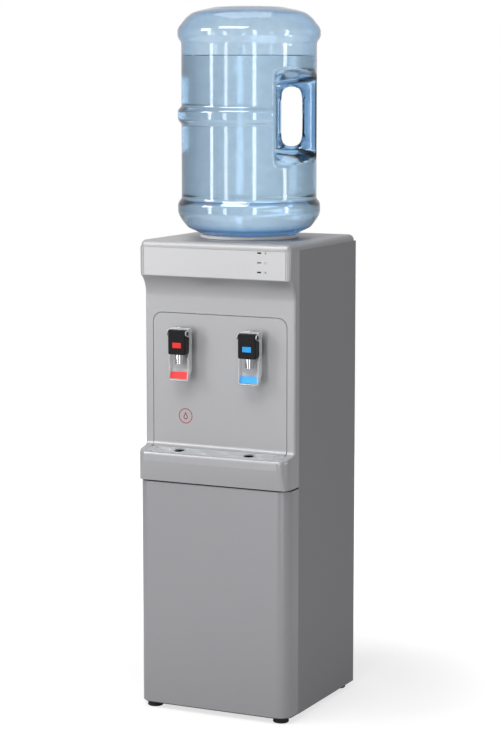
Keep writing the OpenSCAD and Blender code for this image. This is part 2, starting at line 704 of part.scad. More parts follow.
module hinge_pins() color([0.7, 0.7, 0.72]) seat() {
  translate([hinge_x(), hinge_y, foot_h]) cylinder(r = hinge_pin_r, h = pan_t + door_gap + 14);
  translate([hinge_x(), hinge_y, foot_h + pan_t]) cylinder(r = 4, h = door_gap - 0.2);
  translate([hinge_x(), hinge_y, door_top - 14]) cylinder(r = hinge_pin_r, h = 14 + apron_gap + shell_t);
  translate([hinge_x(), hinge_y, door_top + 0.4]) cylinder(r = 7, h = apron_gap - 0.4);
}

// Bottle, upside down

// Outer profile as [radius, height under the base], from the base to the neck
function bottle_points(t) = [
  [0, 0 + t], [47, 0 + t], [80.7 - t, 4.5 + t], [107.3 - t, 12 + t * 0.8], [bottle_r - 7.5 - t, 22],
  [bottle_r - t, 32], [bottle_r + rib_out - t, 44], [bottle_r + rib_out - t, 55], [bottle_r - t, 66],
  [bottle_r - t, 185], [bottle_r + rib_out - t, 192], [bottle_r + rib_out - t, 208], [bottle_r - t, 217],
  [bottle_r - t, 356], [bottle_r + rib_out - t, 366], [bottle_r + rib_out - t, 382], [bottle_r - t, 394],
  [bottle_r - 0.3 - t, 399.5], [116.3 - t, 410 - t * 0.4], [99.9 - t, 417.5 - t], [81.8 - t, bottle_h + 4 - t],
  [60, bottle_h + 16 - t], [neck_r + 7 - t, bottle_h + 34 - t], [neck_r - t, bottle_h + 44 - t]
];
module bottle_form(t, mouth) rotate_extrude() {
  p = bottle_points(t);
  polygon([for (q = p) [q[0], base_z - q[1]], [neck_r - t, neck_z - mouth], [0, neck_z - mouth]]);
}
// Pockets on both sides of the grip and the finger hole, grown by g
module handle_cut(g) translate([0, 0, grip_z]) rotate(handle_turn) {
  for (s = [0, 1]) mirror([0, s, 0]) along_y(grip_half - g, bottle_r + 20)
    translate([130, 0]) pad(166 + 2 * g, 169 + 2 * g, 18);
  along_y(-bottle_r, 2 * bottle_r) translate([79.5, 0]) pad(35 + 2 * g, hole_h + 2 * g, 15 + g);
}
module bottle() color([0.45, 0.65, 0.85, 0.45]) seat() translate([0, axis_y, 0]) difference() {
  difference() {
    bottle_form(0, 0);
    handle_cut(0);
  }
  difference() {
    bottle_form(bottle_t, 1);
    handle_cut(bottle_t);
  }
}
module bottle_cap() color([0.8, 0.85, 0.95]) seat() translate([0, axis_y, 0]) rotate_extrude() difference() {
  polygon([
    [8.8, neck_z - 2], [neck_r + 2.4, neck_z - 2], [neck_r + 2.4, neck_z + 16], [neck_r + 0.05, neck_z + 18],
    [neck_r + 0.05, neck_z], [11, neck_z], [11, neck_z + 14], [8.8, neck_z + 14]
  ]);
  square(0.001);
}

// Cold side

module cold_tank() color([0.75, 0.76, 0.77]) seat() translate([0, axis_y, 0]) difference() {
  union() {
    rotate_extrude() difference() {
      polygon([[0, cold_z], [cold_r - 6, cold_z], [cold_r, cold_z + 6], [cold_r, cold_z + cold_h], [0, cold_z + cold_h]]);
      polygon([
        [0, cold_z + tank_t], [cold_r - 6.4, cold_z + tank_t], [cold_r - tank_t, cold_z + 6.6],
        [cold_r - tank_t, cold_z + cold_h - tank_t], [0, cold_z + cold_h - tank_t]
      ]);
    }
    translate([0, 0, foam_z - 8]) cylinder(r = nipple_r, h = 18 + tank_t);
    translate([0, 0, cold_z + cold_h - eps]) cylinder(r = 20, h = 6 + eps);
    translate([cold_r - tank_t, 0, cold_hose_z]) rotate([0, 90, 0]) cylinder(r = nipple_r, h = foam_t + 10);
  }
  translate([0, 0, foam_z - 9]) cylinder(r = nipple_r - 1, h = 22);
  translate([0, 0, cold_z + cold_h - 5]) cylinder(r = 7.2, h = 20);
  translate([cold_r - tank_t - 3, 0, cold_hose_z]) rotate([0, 90, 0]) cylinder(r = nipple_r - 1, h = foam_t + 40);
}
cold_hose_z = tap_z;
module foam_jacket() color([0.95, 0.94, 0.88]) seat() difference() {
  translate([0, axis_y, foam_z]) cylinder(r = foam_r, h = cold_h + 4);
  translate([0, axis_y, cold_z]) cylinder(r = cold_r + 0.3, h = cold_h + 10);
  translate([0, axis_y, foam_z - 1]) cylinder(r = nipple_r + 0.3, h = 20);
  translate([0, axis_y, cold_hose_z]) rotate([0, 90, 0]) cylinder(r = nipple_r + 0.3, h = 200);
  translate([-60, sink_y - 0.3, foam_z - 1]) cube([120, 60, cold_h + 10]);
  translate([-25.3, axis_y, cool_z - 25.3]) cube([50.6, 200, 50.6]);
}
module baffle() color([0.9, 0.9, 0.9]) seat() translate([0, axis_y, 0]) difference() {
  union() {
    translate([0, 0, cold_z + 42]) cylinder(r = cold_r - tank_t - 0.4, h = 2);
    for (a = [30, 150, 270]) rotate(a) translate([58, 0, cold_z + tank_t]) cylinder(r = 3, h = 42);
    translate([0, 0, cold_z + tank_t + 8]) cylinder(r = 9, h = 40);
  }
  translate([0, 0, cold_z]) cylinder(r = 7, h = 60);
  for (a = [0:60:300]) rotate(a) translate([40, 0, cold_z + 40]) cylinder(r = 5, h = 9);
}
module cold_block() color([0.8, 0.81, 0.82]) seat() difference() {
  translate([-25, axis_y, cool_z - 25]) cube([50, block_y - axis_y, 50]);
  translate([0, axis_y, cool_z - 30]) cylinder(r = cold_r + 0.1, h = 60);
}
module cooling_module() color([0.92, 0.92, 0.9]) seat() {
  translate([-20, block_y, cool_z - 20]) cube([40, 0.8, 40]);
  translate([-20, block_y + module_t - 0.8, cool_z - 20]) cube([40, 0.8, 40]);
  for (i = [0:5], j = [0:5]) translate([-18 + i * 6.4, block_y + 0.8, cool_z - 18 + j * 6.4]) cube([4, module_t - 1.6, 4]);
}
module heat_sink() color([0.78, 0.79, 0.8]) seat() {
  translate([-sink_w / 2, sink_y, cool_z - sink_w / 2]) cube([sink_w, 5, sink_w]);
  for (k = [0:fins - 1]) translate([-sink_w / 2 + k * (sink_w - 1.5) / (fins - 1), sink_y + 5, cool_z - sink_w / 2])
    cube([1.5, sink_d - 5, sink_w]);
}
fan_shaft_r = 1.5;
module fan_frame() color([0.08, 0.08, 0.08]) seat() translate([0, 0, cool_z]) difference() {
  union() {
    difference() {
      along_y(fan_y, fan_t) pad(fan_w, fan_w, 5);
      rod_y(fan_w / 2 - 2.5, fan_y - 1, fan_t + 2);
    }
    rod_y(14, fan_y + fan_t - 2, 2);
    rod_y(4, fan_y + fan_t - 7, 6);
    for (a = [45:90:315]) rotate([0, a, 0]) translate([-1.5, fan_y + fan_t - 2, 0]) cube([3, 2, fan_w / 2 - 1]);
  }
  rod_y(fan_shaft_r + 0.05, fan_y - 1, fan_t - 1);
  for (x = [-1, 1], z = [-1, 1]) translate([x * (fan_w / 2 - 5), 0, z * (fan_w / 2 - 5)]) rod_y(2.1, fan_y - 1, fan_t + 2);
}
module fan_rotor() color([0.12, 0.12, 0.13]) seat() translate([0, 0, cool_z]) {
  difference() {
    rod_y(16, fan_y + 1, fan_t - 3.5);
    rod_y(14, fan_y + 2.5, fan_t);
  }
  rod_y(fan_shaft_r, fan_y + 2, fan_t - 5);
  for (k = [0:blades - 1]) rotate([0, k * 360 / blades, 0]) translate([15, fan_y + 6.5, 0])
    rotate([38, 0, 0]) translate([0, -0.6, -7]) cube([fan_w / 2 - 2.5 - 15 - 1.6, 1.2, 14]);
}

// Hot side

module hot_tank() color([0.8, 0.8, 0.8]) seat() translate([0, axis_y, 0]) difference() {
  union() {
    rotate_extrude() difference() {
      polygon([[0, hot_z], [hot_r - 8, hot_z], [hot_r, hot_z + 8], [hot_r, hot_top - 8], [hot_r - 8, hot_top], [0, hot_top]]);
      polygon([
        [0, hot_z + tank_t], [hot_r - 8.4, hot_z + tank_t], [hot_r - tank_t, hot_z + 8.6],
        [hot_r - tank_t, hot_top - 8.6], [hot_r - 8.4, hot_top - tank_t], [0, hot_top - tank_t]
      ]);
    }
    translate([0, 0, hot_top - tank_t]) cylinder(r = nipple_r, h = 12 + tank_t);
    for (a = [30, 150, 270]) rotate(a) translate([hot_r - 12, 0, shelf_z + panel_t]) cylinder(r = 3, h = hot_z - shelf_z);
    translate([-30, 0, hot_hose_z]) rotate([90, 0, 0]) translate([0, 0, 34]) cylinder(r = nipple_r, h = 34);
    translate([0, 0, drain_z]) rod_y(nipple_r, hot_r - tank_t - 1, 20);
  }
  translate([0, 0, hot_top - 5]) cylinder(r = nipple_r - 1, h = 20);
  translate([-30, 0, hot_hose_z]) rotate([90, 0, 0]) translate([0, 0, 30]) cylinder(r = nipple_r - 1, h = 60);
  translate([0, 0, drain_z]) rod_y(nipple_r - 1, hot_r - 5, 40);
}
heater_z = hot_z + 24;
heater_h = 46;
module hot_sleeve() color([0.9, 0.88, 0.8]) seat() difference() {
  translate([0, axis_y, heater_z + heater_h + 3]) cylinder(r = hot_r + 0.3 + sleeve_t, h = hot_top - 9 - heater_z - heater_h - 3);
  translate([0, axis_y, heater_z]) cylinder(r = hot_r + 0.3, h = 300);
  translate([-30, 0, hot_hose_z]) rod_y(nipple_r + 0.5, 0, axis_y);
}
module band_heater() color([0.62, 0.55, 0.5]) seat() translate([0, axis_y, heater_z]) difference() {
  union() {
    cylinder(r = hot_r + 4, h = heater_h);
    translate([-6, hot_r, 8]) cube([12, 14, heater_h - 16]);
  }
  translate([0, 0, -1]) cylinder(r = hot_r + 0.2, h = heater_h + 2);
  translate([-1.2, 0, -1]) cube([2.4, hot_r + 20, heater_h + 2]);
  translate([-20, hot_r + 9.5, heater_h / 2]) rotate([0, 90, 0]) cylinder(r = 2, h = 40);
}
module thermostats() color([0.15, 0.15, 0.15]) seat()
  for (z = [heater_z + 12, heater_z + 34]) translate([0, axis_y, z]) rotate([0, 0, 60]) {
    translate([hot_r + 4.2, 0, 0]) rotate([0, 90, 0]) cylinder(r = 8, h = 6);
    for (y = [-4, 4]) translate([hot_r + 10.2, y - 0.4, -2.5]) cube([6, 0.8, 5]);
  }
module feed_hose() color([0.95, 0.95, 0.95, 0.8]) seat()
  translate([0, axis_y, hot_top + 0.3]) hose_run(foam_z - hot_top - 0.6);
stem_end = wall_set + 27;
module hot_outlet_hose() {
  x0 = -30;
  y0 = axis_y - hot_r - 11;
  translate([x0, y0, hot_hose_z]) rotate([90, 0, 0]) hose_run(y0 - route_y - hose_bend);
  // level bend towards the tap
  translate([x0, route_y + hose_bend, hot_hose_z]) rotate([90, 0, 0]) rotate(180) hose_turn();
  translate([-tap_x + hose_bend, route_y, hot_hose_z]) rotate([0, 90, 0]) hose_run(tap_x + x0 - 2 * hose_bend);
  // rising bend
  translate([-tap_x + hose_bend, route_y, hot_hose_z]) rotate([0, -90, 0]) hose_turn();
  translate([-tap_x, route_y, hot_hose_z + hose_bend]) hose_run(tap_z - hot_hose_z - 2 * hose_bend);
  // bend into the tap
  translate([-tap_x, route_y, tap_z - hose_bend]) rotate(-90) hose_turn();
  translate([-tap_x, route_y - hose_bend, tap_z]) rotate([90, 0, 0]) hose_run(route_y - hose_bend - wall_set - 16);
}
cold_route_x = half - 33;
module cold_outlet_hose() {
  x0 = foam_r + 0.5;
  translate([x0, axis_y, tap_z]) rotate([0, 90, 0]) hose_run(cold_route_x - hose_bend - x0);
  translate([cold_route_x - hose_bend, axis_y, tap_z]) rotate([0, 90, 0]) rotate(-90) hose_turn();
  translate([cold_route_x, axis_y - hose_bend, tap_z]) rotate([90, 0, 0]) hose_run(axis_y - route_y - 2 * hose_bend);
  translate([cold_route_x, route_y + hose_bend, tap_z]) rotate([90, 0, 0]) rotate(180) hose_turn();
  translate([tap_x + hose_bend, route_y, tap_z]) rotate([0, 90, 0]) hose_run(cold_route_x - tap_x - 2 * hose_bend);
  translate([tap_x + hose_bend, route_y, tap_z]) rotate([0, -90, 0]) rotate(-90) hose_turn();
  translate([tap_x, route_y - hose_bend, tap_z]) rotate([90, 0, 0]) hose_run(route_y - hose_bend - wall_set - 16);
}
module tap_hoses() color([0.95, 0.95, 0.95, 0.8]) seat() {
  hot_outlet_hose();
  cold_outlet_hose();
}
module drain_pipe() color([0.9, 0.9, 0.9]) seat() translate([0, 0, drain_z]) difference() {
  union() {
    rod_y(8, axis_y + hot_r + 4, cab_d - axis_y - hot_r - 4 + 8);
    rod_y(12, cab_d - panel_t - 3.1, 3);
  }
  rod_y(hose_bore_r, 0, 600);
}
module drain_cap() color([0.12, 0.12, 0.12]) seat() translate([0, 0, drain_z]) difference() {
  union() {
    rod_y(11, cab_d + 0.5, rear_out - 0.5);
    for (a = [0:30:330]) rotate([0, a, 0]) translate([10.6, cab_d + 1.5, -1.2]) cube([1.4, rear_out - 2.5, 2.4]);
  }
  rod_y(8.1, cab_d - 1, 9.6);
}

// Electrics

module power_board() {
  x = in_half - 12;
  translate([x, 170, hot_z + 20]) cube([1.6, 90, 120]);
  for (y = [178, 252], z = [28, 132]) translate([x + 1.6, y, hot_z + z]) rotate([0, 90, 0]) cylinder(r = 3, h = 12 - 1.6 - 0.05);
  translate([x - 34, 180, hot_z + 30]) cube([34, 42, 46]);
  for (y = [196, 222, 246]) translate([x - 22, y, hot_z + 115]) rotate([0, 90, 0]) cylinder(r = 9, h = 22);
}
module circuit_boards() color([0.1, 0.35, 0.15]) seat() {
  lamp_board();
  power_board();
}
rocker_tilt = 7;
rocker_pivot_r = 1.4;
rocker_y = cab_d - 1;
module rocker(x) seat() translate([switch_x + x, rocker_y, switch_z]) rotate([-rocker_tilt, 0, 0]) difference() {
  union() {
    translate([-5, -6, -8]) cube([10, 11, 16]);
    translate([-6.4, 0, 0]) rotate([0, 90, 0]) cylinder(r = rocker_pivot_r, h = 12.8);
  }
  translate([-20, 17.5, 0]) rotate([0, 90, 0]) cylinder(r = 14, h = 40);
}
module hot_rocker() color([0.7, 0.08, 0.06]) rocker(-13);
module cold_rocker() color([0.06, 0.35, 0.6]) rocker(13);
module switch_housings() color([0.07, 0.07, 0.07]) seat()
  for (x = [-13, 13]) translate([switch_x + x, 0, switch_z]) difference() {
    union() {
      along_y(cab_d - 20, 20) square([14, 20], center = true);
      along_y(cab_d, 2) pad(18, 24, 1.5);
    }
    along_y(rocker_y - 8, 20) square([11, 18], center = true);
    translate([-7.5, rocker_y, 0]) rotate([0, 90, 0]) cylinder(r = rocker_pivot_r + 0.08, h = 15);
  }
module cord_gland() color([0.1, 0.1, 0.1]) seat() translate([switch_x, 0, gland_z]) difference() {
  union() {
    rod_y(gland_r, cab_d - 8, 8);
    rod_y(gland_r + 2.5, cab_d + 0.05, 3);
    translate([0, cab_d + 3.05, 0]) rotate([-90, 0, 0]) cylinder(r1 = gland_r, r2 = gland_r - 1.5, h = 9);
    rod_y(gland_r + 1.5, cab_d - panel_t - 3, 2.9);
  }
  rod_y(4, cab_d - 20, 60);
}

// Taps

module tap_body(s) color([0.05, 0.05, 0.06]) seat() translate([s * tap_x, 0, 0]) difference() {
  union() {
    // front block with bevelled front edges
    along_y(1.2, block_d - 1.2) translate([0, block_z + block_h / 2]) pad(block_w, block_h, 3);
    along_y(0, 1.3) translate([0, block_z + block_h / 2]) pad(block_w - 2, block_h - 2, 2.4);
    // rear body and collar against the panel
    along_y(block_d - eps, wall_set - block_d - 6) translate([0, block_z + 25.5]) pad(block_w - 4, 38, 4);
    translate([0, 0, tap_z]) rod_y(13, wall_set - 6.1, 6.05);
    translate([0, 0, tap_z]) rod_y(stem_r, wall_set - 1, 14);
    translate([0, 0, tap_z]) rod_y(nipple_r, wall_set + 12, stem_end - wall_set - 12);
  }
  // valve chamber, its top bore and the water bore
  translate([0, spout_y, block_z + 8]) cylinder(r = 7, h = 24);
  translate([0, spout_y, block_z + 20]) cylinder(r = 2.6, h = 40);
  translate([0, spout_y, block_z - 1]) cylinder(r = spout_r - 1.5, h = 6);
  translate([0, spout_y, block_z - 1]) cylinder(r = spout_bore_r - 0.6, h = 12);
  translate([0, 0, tap_z]) rod_y(nipple_r - 1.2, spout_y, 80);
  // pivot bore and the window's pocket
  translate([-40, pivot_y, pivot_z]) rotate([0, 90, 0]) cylinder(r = pivot_r, h = 80);
  along_y(-1, 2.2) translate([0, window_z]) square([window_w + 0.2, window_h + 0.2], center = true);
}
window_w = 18;
window_h = 10;
window_z = block_z + 17.5;
module hot_tap_body() tap_body(-1);
module cold_tap_body() tap_body(1);
module window(s) seat() translate([s * tap_x, 0, 0]) along_y(0.2, 1) translate([0, window_z])
  square([window_w, window_h], center = true);
module hot_window() color([0.9, 0.12, 0.1]) window(-1);
module cold_window() color([0.1, 0.6, 0.9]) window(1);
spout_len = 18;
module tap_spouts() color([0.85, 0.86, 0.88]) seat()
  for (s = [-1, 1]) translate([s * tap_x, spout_y, block_z - spout_len]) difference() {
    union() {
      cylinder(r = spout_r, h = spout_len - 0.05);
      translate([0, 0, spout_len - 0.06]) cylinder(r = spout_r - 1.6, h = 4.5);
    }
    translate([0, 0, -1]) cylinder(r = spout_bore_r, h = spout_len + 10);
    translate([0, 0, -eps]) cylinder(r1 = spout_bore_r + 2, r2 = spout_bore_r, h = 3);
  }
module tap_nuts() color([0.9, 0.9, 0.88]) seat()
  for (s = [-1, 1]) translate([s * tap_x, wall_set + tap_panel_t + 0.1, tap_z]) rotate([-90, 0, 0]) difference() {
    union() {
      cylinder(r = 16, h = 1.5);
      translate([0, 0, 1.5]) cylinder(r = 14, h = 6, $fn = 6);
    }
    translate([0, 0, -1]) cylinder(r = stem_r + 0.05, h = 12);
  }
module pivot_pins() color([0.8, 0.8, 0.82]) seat()
  for (s = [-1, 1]) translate([s * tap_x - cheek_out - 0.6, pivot_y, pivot_z]) rotate([0, 90, 0])
    cylinder(r = pivot_r, h = 2 * cheek_out + 1.2);
// Side outline of the paddle's cheek in the Y-Z plane
module cheek() difference() {
  union() {
    polygon([
      [pivot_y + 4, pivot_z + 8.6], [plate_y + paddle_t, pivot_z + 8.6], [plate_y + paddle_t, flap_z],
      [pivot_y + 7, paddle_low + 2], [pivot_y + 3, paddle_low], [pivot_y + 1, paddle_low + 3],
      [plate_y - 13, flap_z + 4], [plate_y - 13, block_z - 5], [plate_y - 6, block_z + 6], [plate_y - 6, pivot_z - 9],
      [pivot_y + 1, pivot_z - 4.6]
    ]);
    translate([pivot_y, pivot_z]) circle(4.8);
  }
  translate([pivot_y, pivot_z]) circle(pivot_r + pivot_clear);
}
module paddle(s) seat() translate([s * tap_x, 0, 0]) {
  for (c = [-1, 1]) translate([c * (cheek_in + paddle_t / 2), 0, 0]) along_x(paddle_t) cheek();
  // plate behind the spout
  translate([-cheek_in - eps, plate_y, flap_z]) cube([2 * cheek_in + 2 * eps, paddle_t, block_z - flap_z - 3]);
  // flap that the cup pushes
  along_x(2 * cheek_in + 2 * eps) polygon([
    [plate_y, flap_z + 1], [plate_y + paddle_t, flap_z], [pivot_y + 7, paddle_low + 2], [pivot_y + 3, paddle_low],
    [pivot_y + 2, paddle_low + 1.6], [pivot_y + 5.4, paddle_low + 3.6]
  ]);
  // bridge over the block that lifts the plunger
  difference() {
    translate([-cheek_in - eps, pivot_y + 4, pivot_z + 6.6]) cube([2 * cheek_in + 2 * eps, 13, 2]);
    for (y = [0, 1.3]) translate([0, spout_y + y, pivot_z]) cylinder(r = stem_hole_r, h = 20);
    translate([-stem_hole_r, spout_y, pivot_z]) cube([2 * stem_hole_r, 1.3, 20]);
  }
}
module hot_paddle() color([0.93, 0.94, 0.95, 0.75]) paddle(-1);
module cold_paddle() color([0.93, 0.94, 0.95, 0.75]) paddle(1);
strip_h = 11;
module strip(s) seat() translate([s * tap_x, 0, 0]) intersection() {
  along_x(2 * cheek_out - 3) translate([pivot_y + 3.7, paddle_low + 2.6])
    rotate(atan2(flap_z + 1 - paddle_low - 3.6, plate_y - pivot_y - 5.4)) translate([2, 0.35]) square([strip_h + 3, 1]);
  translate([-cheek_in + 0.3, -10, paddle_low]) cube([2 * cheek_in - 0.6, 60, 60]);
}
module hot_strip() color([0.9, 0.15, 0.12]) strip(-1);
module cold_strip() color([0.15, 0.65, 0.95]) strip(1);
stem_hole_r = 2.5;
plunger_z = block_z + 8.2;
module plunger(s) color([0.9, 0.9, 0.88]) seat() translate([s * tap_x, spout_y, 0]) {
  translate([0, 0, plunger_z]) cylinder(r = 5.6, h = 3);
  translate([0, 0, plunger_z]) cylinder(r = 2.1, h = pivot_z + 9.2 - plunger_z);
  translate([0, 0, pivot_z + 9.1]) cylinder(r = 3, h = 1.4);
}
module hot_plunger() plunger(-1);
module cold_plunger() plunger(1);
spring_turns = 4;
spring_wire = 0.9;
plunger_lift = 0.95;
spring_clear = 0.15;
// Compression spring over each plunger: rings of wire joined by a sloping link
function coil_at(t, z0, h) = [4.6 * cos(360 * t * spring_turns), 4.6 * sin(360 * t * spring_turns), z0 + h * t];
module valve_springs() color([0.75, 0.75, 0.77]) seat() for (s = [-1, 1]) translate([s * tap_x, spout_y, 0]) {
  z0 = plunger_z + 3 + spring_wire / 2 + plunger_lift + spring_clear;
  h = block_z + 32 - z0 - spring_wire / 2 - spring_clear;
  n = spring_turns * 12;
  rings = [for (k = [0:n]) let (a = 360 * k * spring_turns / n, c = coil_at(k / n, z0, h))
    for (j = [0:5]) c + [spring_wire / 2 * cos(j * 60) * cos(a), spring_wire / 2 * cos(j * 60) * sin(a),
      spring_wire / 2 * sin(j * 60)]];
  sides = [for (k = [0:n - 1], j = [0:5]) let (a = k * 6 + j, b = k * 6 + (j + 1) % 6)
    each [[a, a + 6, b], [b, a + 6, b + 6]]];
  polyhedron(rings, concat(sides, [[for (j = [0:5]) j]], [[for (j = [5:-1:0]) n * 6 + j]]));
}

base_pan();
feet();
side_panel_left();
side_panel_right();
rear_panel();
tank_shelves();
top_cover();
bottle_seat();
feed_probe();
front_fascia();
header_panel();
tap_panel();
lamp_heating();
lamp_power();
lamp_cooling();
circuit_boards();
drip_tray();
drip_grille();
door();
door_inner_panel();
door_strike();
door_magnet();
hinge_pins();
bottle();
bottle_cap();
cold_tank();
foam_jacket();
baffle();
cold_block();
cooling_module();
heat_sink();
fan_frame();
fan_rotor();
hot_tank();
hot_sleeve();
band_heater();
thermostats();
feed_hose();
tap_hoses();
drain_pipe();
drain_cap();
switch_housings();
hot_rocker();
cold_rocker();
cord_gland();
panel_screws();
hot_tap_body();
cold_tap_body();
hot_window();
cold_window();
tap_spouts();
tap_nuts();
hot_paddle();
cold_paddle();
hot_strip();
cold_strip();
pivot_pins();
hot_plunger();
cold_plunger();
valve_springs();
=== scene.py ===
# %% [markdown]
# # A hot and cold water dispenser
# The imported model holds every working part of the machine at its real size. This lesson dresses
# those parts: it gives the painted mouldings their soft edges, the bottle its thin blue wall and
# its water, and every part a finish made of shader nodes. Nothing here moves a part, because the
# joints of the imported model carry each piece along.

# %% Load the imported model
import math
import bmesh
import bpy
import numpy as np
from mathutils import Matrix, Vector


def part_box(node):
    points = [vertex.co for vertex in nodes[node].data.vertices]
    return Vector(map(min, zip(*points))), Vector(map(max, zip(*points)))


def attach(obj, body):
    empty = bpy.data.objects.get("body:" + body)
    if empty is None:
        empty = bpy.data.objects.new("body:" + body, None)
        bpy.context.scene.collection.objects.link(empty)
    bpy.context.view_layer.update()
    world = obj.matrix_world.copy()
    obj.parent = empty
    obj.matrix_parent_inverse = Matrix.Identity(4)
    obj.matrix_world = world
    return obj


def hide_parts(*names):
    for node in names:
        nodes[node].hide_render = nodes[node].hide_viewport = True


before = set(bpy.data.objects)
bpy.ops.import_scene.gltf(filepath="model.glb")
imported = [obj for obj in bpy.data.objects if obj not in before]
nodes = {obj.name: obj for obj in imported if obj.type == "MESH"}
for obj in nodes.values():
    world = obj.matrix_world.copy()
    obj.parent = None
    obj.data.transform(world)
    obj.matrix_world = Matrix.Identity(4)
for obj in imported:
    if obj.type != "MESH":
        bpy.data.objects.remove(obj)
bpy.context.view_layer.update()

# %% [markdown]
# ## The camera
# The camera stands in front of the machine and to its right, a little above its top, and looks
# slightly down. A long lens keeps the upright edges almost parallel. The sensor is fitted by its
# height, so the view stays the same in any picture that is 500 wide and 750 high.

# %% Camera
lens = bpy.data.cameras.new("camera")
lens.sensor_fit = "VERTICAL"
lens.sensor_height = 36.0
lens.lens = 108.68
camera = bpy.data.objects.new("camera", lens)
camera.location = (1.8574, -3.8416, 1.2150)
camera.rotation_euler = (math.radians(82.156), 0, math.radians(25.758))
bpy.context.scene.collection.objects.link(camera)
bpy.context.scene.camera = camera
print("camera at", tuple(camera.location), "lens", lens.lens)

# %% [markdown]
# ## Sizes read from the parts
# A piece that replaces a moulding has to sit where the moulding sits. Most sizes are read from the
# box of a imported part, so the lesson follows the model if a size there changes.

# %% Main sizes
shell_wall = 0.0025
corner_round = 0.028
tap_x = 0.072
ledge_tilt = math.radians(8.8)
slope = math.tan(ledge_tilt)
half_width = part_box("side_panel_right")[1].x
sheet_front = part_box("side_panel_right")[0].y
door_low, door_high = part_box("door")
door_face = door_low.y
seam = door_face + 0.0497
shell_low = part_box("front_fascia")[0]
ledge_front = shell_low.y
header_low, header_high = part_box("header_panel")
header_face = header_low.y
panel_low, panel_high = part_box("tap_panel")
wall_face = panel_high.y - shell_wall
joint_height = header_high.z + 0.001
header_base = header_low.z - 0.001
cove_base = header_base - 0.040
lip_base = shell_low.z + 0.038
lip_top = lip_base + 0.014
grille_low, grille_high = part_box("drip_grille")
tray_low, tray_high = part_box("drip_tray")
bottle_low, bottle_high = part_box("bottle")
axis_y = (bottle_low.y + bottle_high.y) / 2
collar_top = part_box("bottle_seat")[1].z
grip_turn = math.radians(26)
grip_mid = bottle_high.z - 0.2035
print("tap wall at y", round(wall_face, 4), "header from z", round(header_base, 4))

# %% [markdown]
# ## Small tools for making pieces
# Most pieces need the same four steps: points and faces become a mesh, modifiers are turned into
# plain geometry, smooth shading stops at real edges, and the piece is tied to a moving body.

# %% Tools for meshes
sharp_from = 30


def show(name, data):
    thing = bpy.data.objects.new(name, data)
    bpy.context.scene.collection.objects.link(thing)
    return thing


def shade(piece, crisp):
    """Smooth shading that stops where two faces meet at more than crisp degrees."""
    piece.data.shade_smooth()
    piece.data.set_sharp_from_angle(angle=math.radians(crisp))


def new_piece(name, points, faces, finish, crisp=40):
    mesh = bpy.data.meshes.new(name)
    mesh.from_pydata([tuple(p) for p in points], [], [tuple(f) for f in faces])
    mesh.update()
    piece = show(name, mesh)
    mesh.materials.append(finish)
    shade(piece, crisp)
    return piece


def grid_faces(rows, columns, first=0, close_rows=False, close_columns=False):
    """Faces of a grid of points that is stored row by row, from the point with number first on."""
    faces = []
    for r in range(rows if close_rows else rows - 1):
        for c in range(columns if close_columns else columns - 1):
            here, above, beside = first + r * columns, first + (r + 1) % rows * columns, (c + 1) % columns
            faces.append((here + c, here + beside, above + beside, above + c))
    return faces


def ease(t):
    """Runs from 0 to 1 as t does, with a soft start and a soft end."""
    return t * t * (3 - 2 * t)


def settle(piece):
    """Turns the piece's modifiers into plain geometry."""
    graph = bpy.context.evaluated_depsgraph_get()
    made = bpy.data.meshes.new_from_object(
        piece.evaluated_get(graph), preserve_all_data_layers=True, depsgraph=graph)
    piece.modifiers.clear()
    piece.data = made
    return piece


def tie(piece, body, slot, *replaced):
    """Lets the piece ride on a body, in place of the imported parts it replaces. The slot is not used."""
    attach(piece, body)
    if replaced:
        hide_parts(*replaced)
    print(f"{piece.name}: {len(piece.data.polygons)} faces, on {body}")
    return piece


def weld(mesh, reach=1e-6, flat=None, outward=False):
    work = bmesh.new()
    work.from_mesh(mesh)
    bmesh.ops.remove_doubles(work, verts=work.verts, dist=reach)
    if flat:
        bmesh.ops.dissolve_limit(work, angle_limit=math.radians(flat), verts=work.verts, edges=work.edges)
    if outward:
        bmesh.ops.recalc_face_normals(work, faces=work.faces)
    work.to_mesh(mesh)
    work.free()


def even_light(piece):
    """Turns the corner normals towards the large flat faces, so that light runs evenly over them."""
    flat_first = piece.modifiers.new("even light", "WEIGHTED_NORMAL")
    flat_first.mode = "FACE_AREA"
    flat_first.weight = 60
    flat_first.keep_sharp = True
    return settle(piece)


def copy_of(node, name, finish):
    source = nodes[node].data
    points = [tuple(v.co) for v in source.vertices]
    faces = [tuple(p.vertices) for p in source.polygons]
    piece = new_piece(name, points, faces, finish)
    weld(piece.data, flat=0.3)
    shade(piece, sharp_from)
    return piece


def soften(piece, width, steps, picked=None, least=40):
    """Rounds the edges that turn by more than least degrees. picked(a, b) chooses by their two ends."""
    mesh = piece.data
    work = bmesh.new()
    work.from_mesh(mesh)
    layers = work.edges.layers.float
    weight = layers.get("bevel_weight_edge") or layers.new("bevel_weight_edge")
    for edge in work.edges:
        if len(edge.link_faces) == 2 and edge.calc_face_angle(0) > math.radians(least):
            if picked is None or picked(edge.verts[0].co, edge.verts[1].co):
                edge[weight] = 1.0
    work.to_mesh(mesh)
    work.free()
    bevel = piece.modifiers.new("round edges", "BEVEL")
    bevel.limit_method = "WEIGHT"
    bevel.width = width
    bevel.segments = steps
    bevel.use_clamp_overlap = True
    settle(piece)
    shade(piece, sharp_from)
    return even_light(piece)


def remake(node, name, finish, body, slot, width, steps=2, **how):
    """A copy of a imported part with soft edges, which takes the part's place."""
    return tie(soften(copy_of(node, name, finish), width, steps, **how), body, slot, node)


print("mesh tools ready")

# %% [markdown]
# Finishes, node-made parts, the floor and the room are all trees of nodes. These tools add a node
# together with its values and its links, so a tree reads from its source to its result.

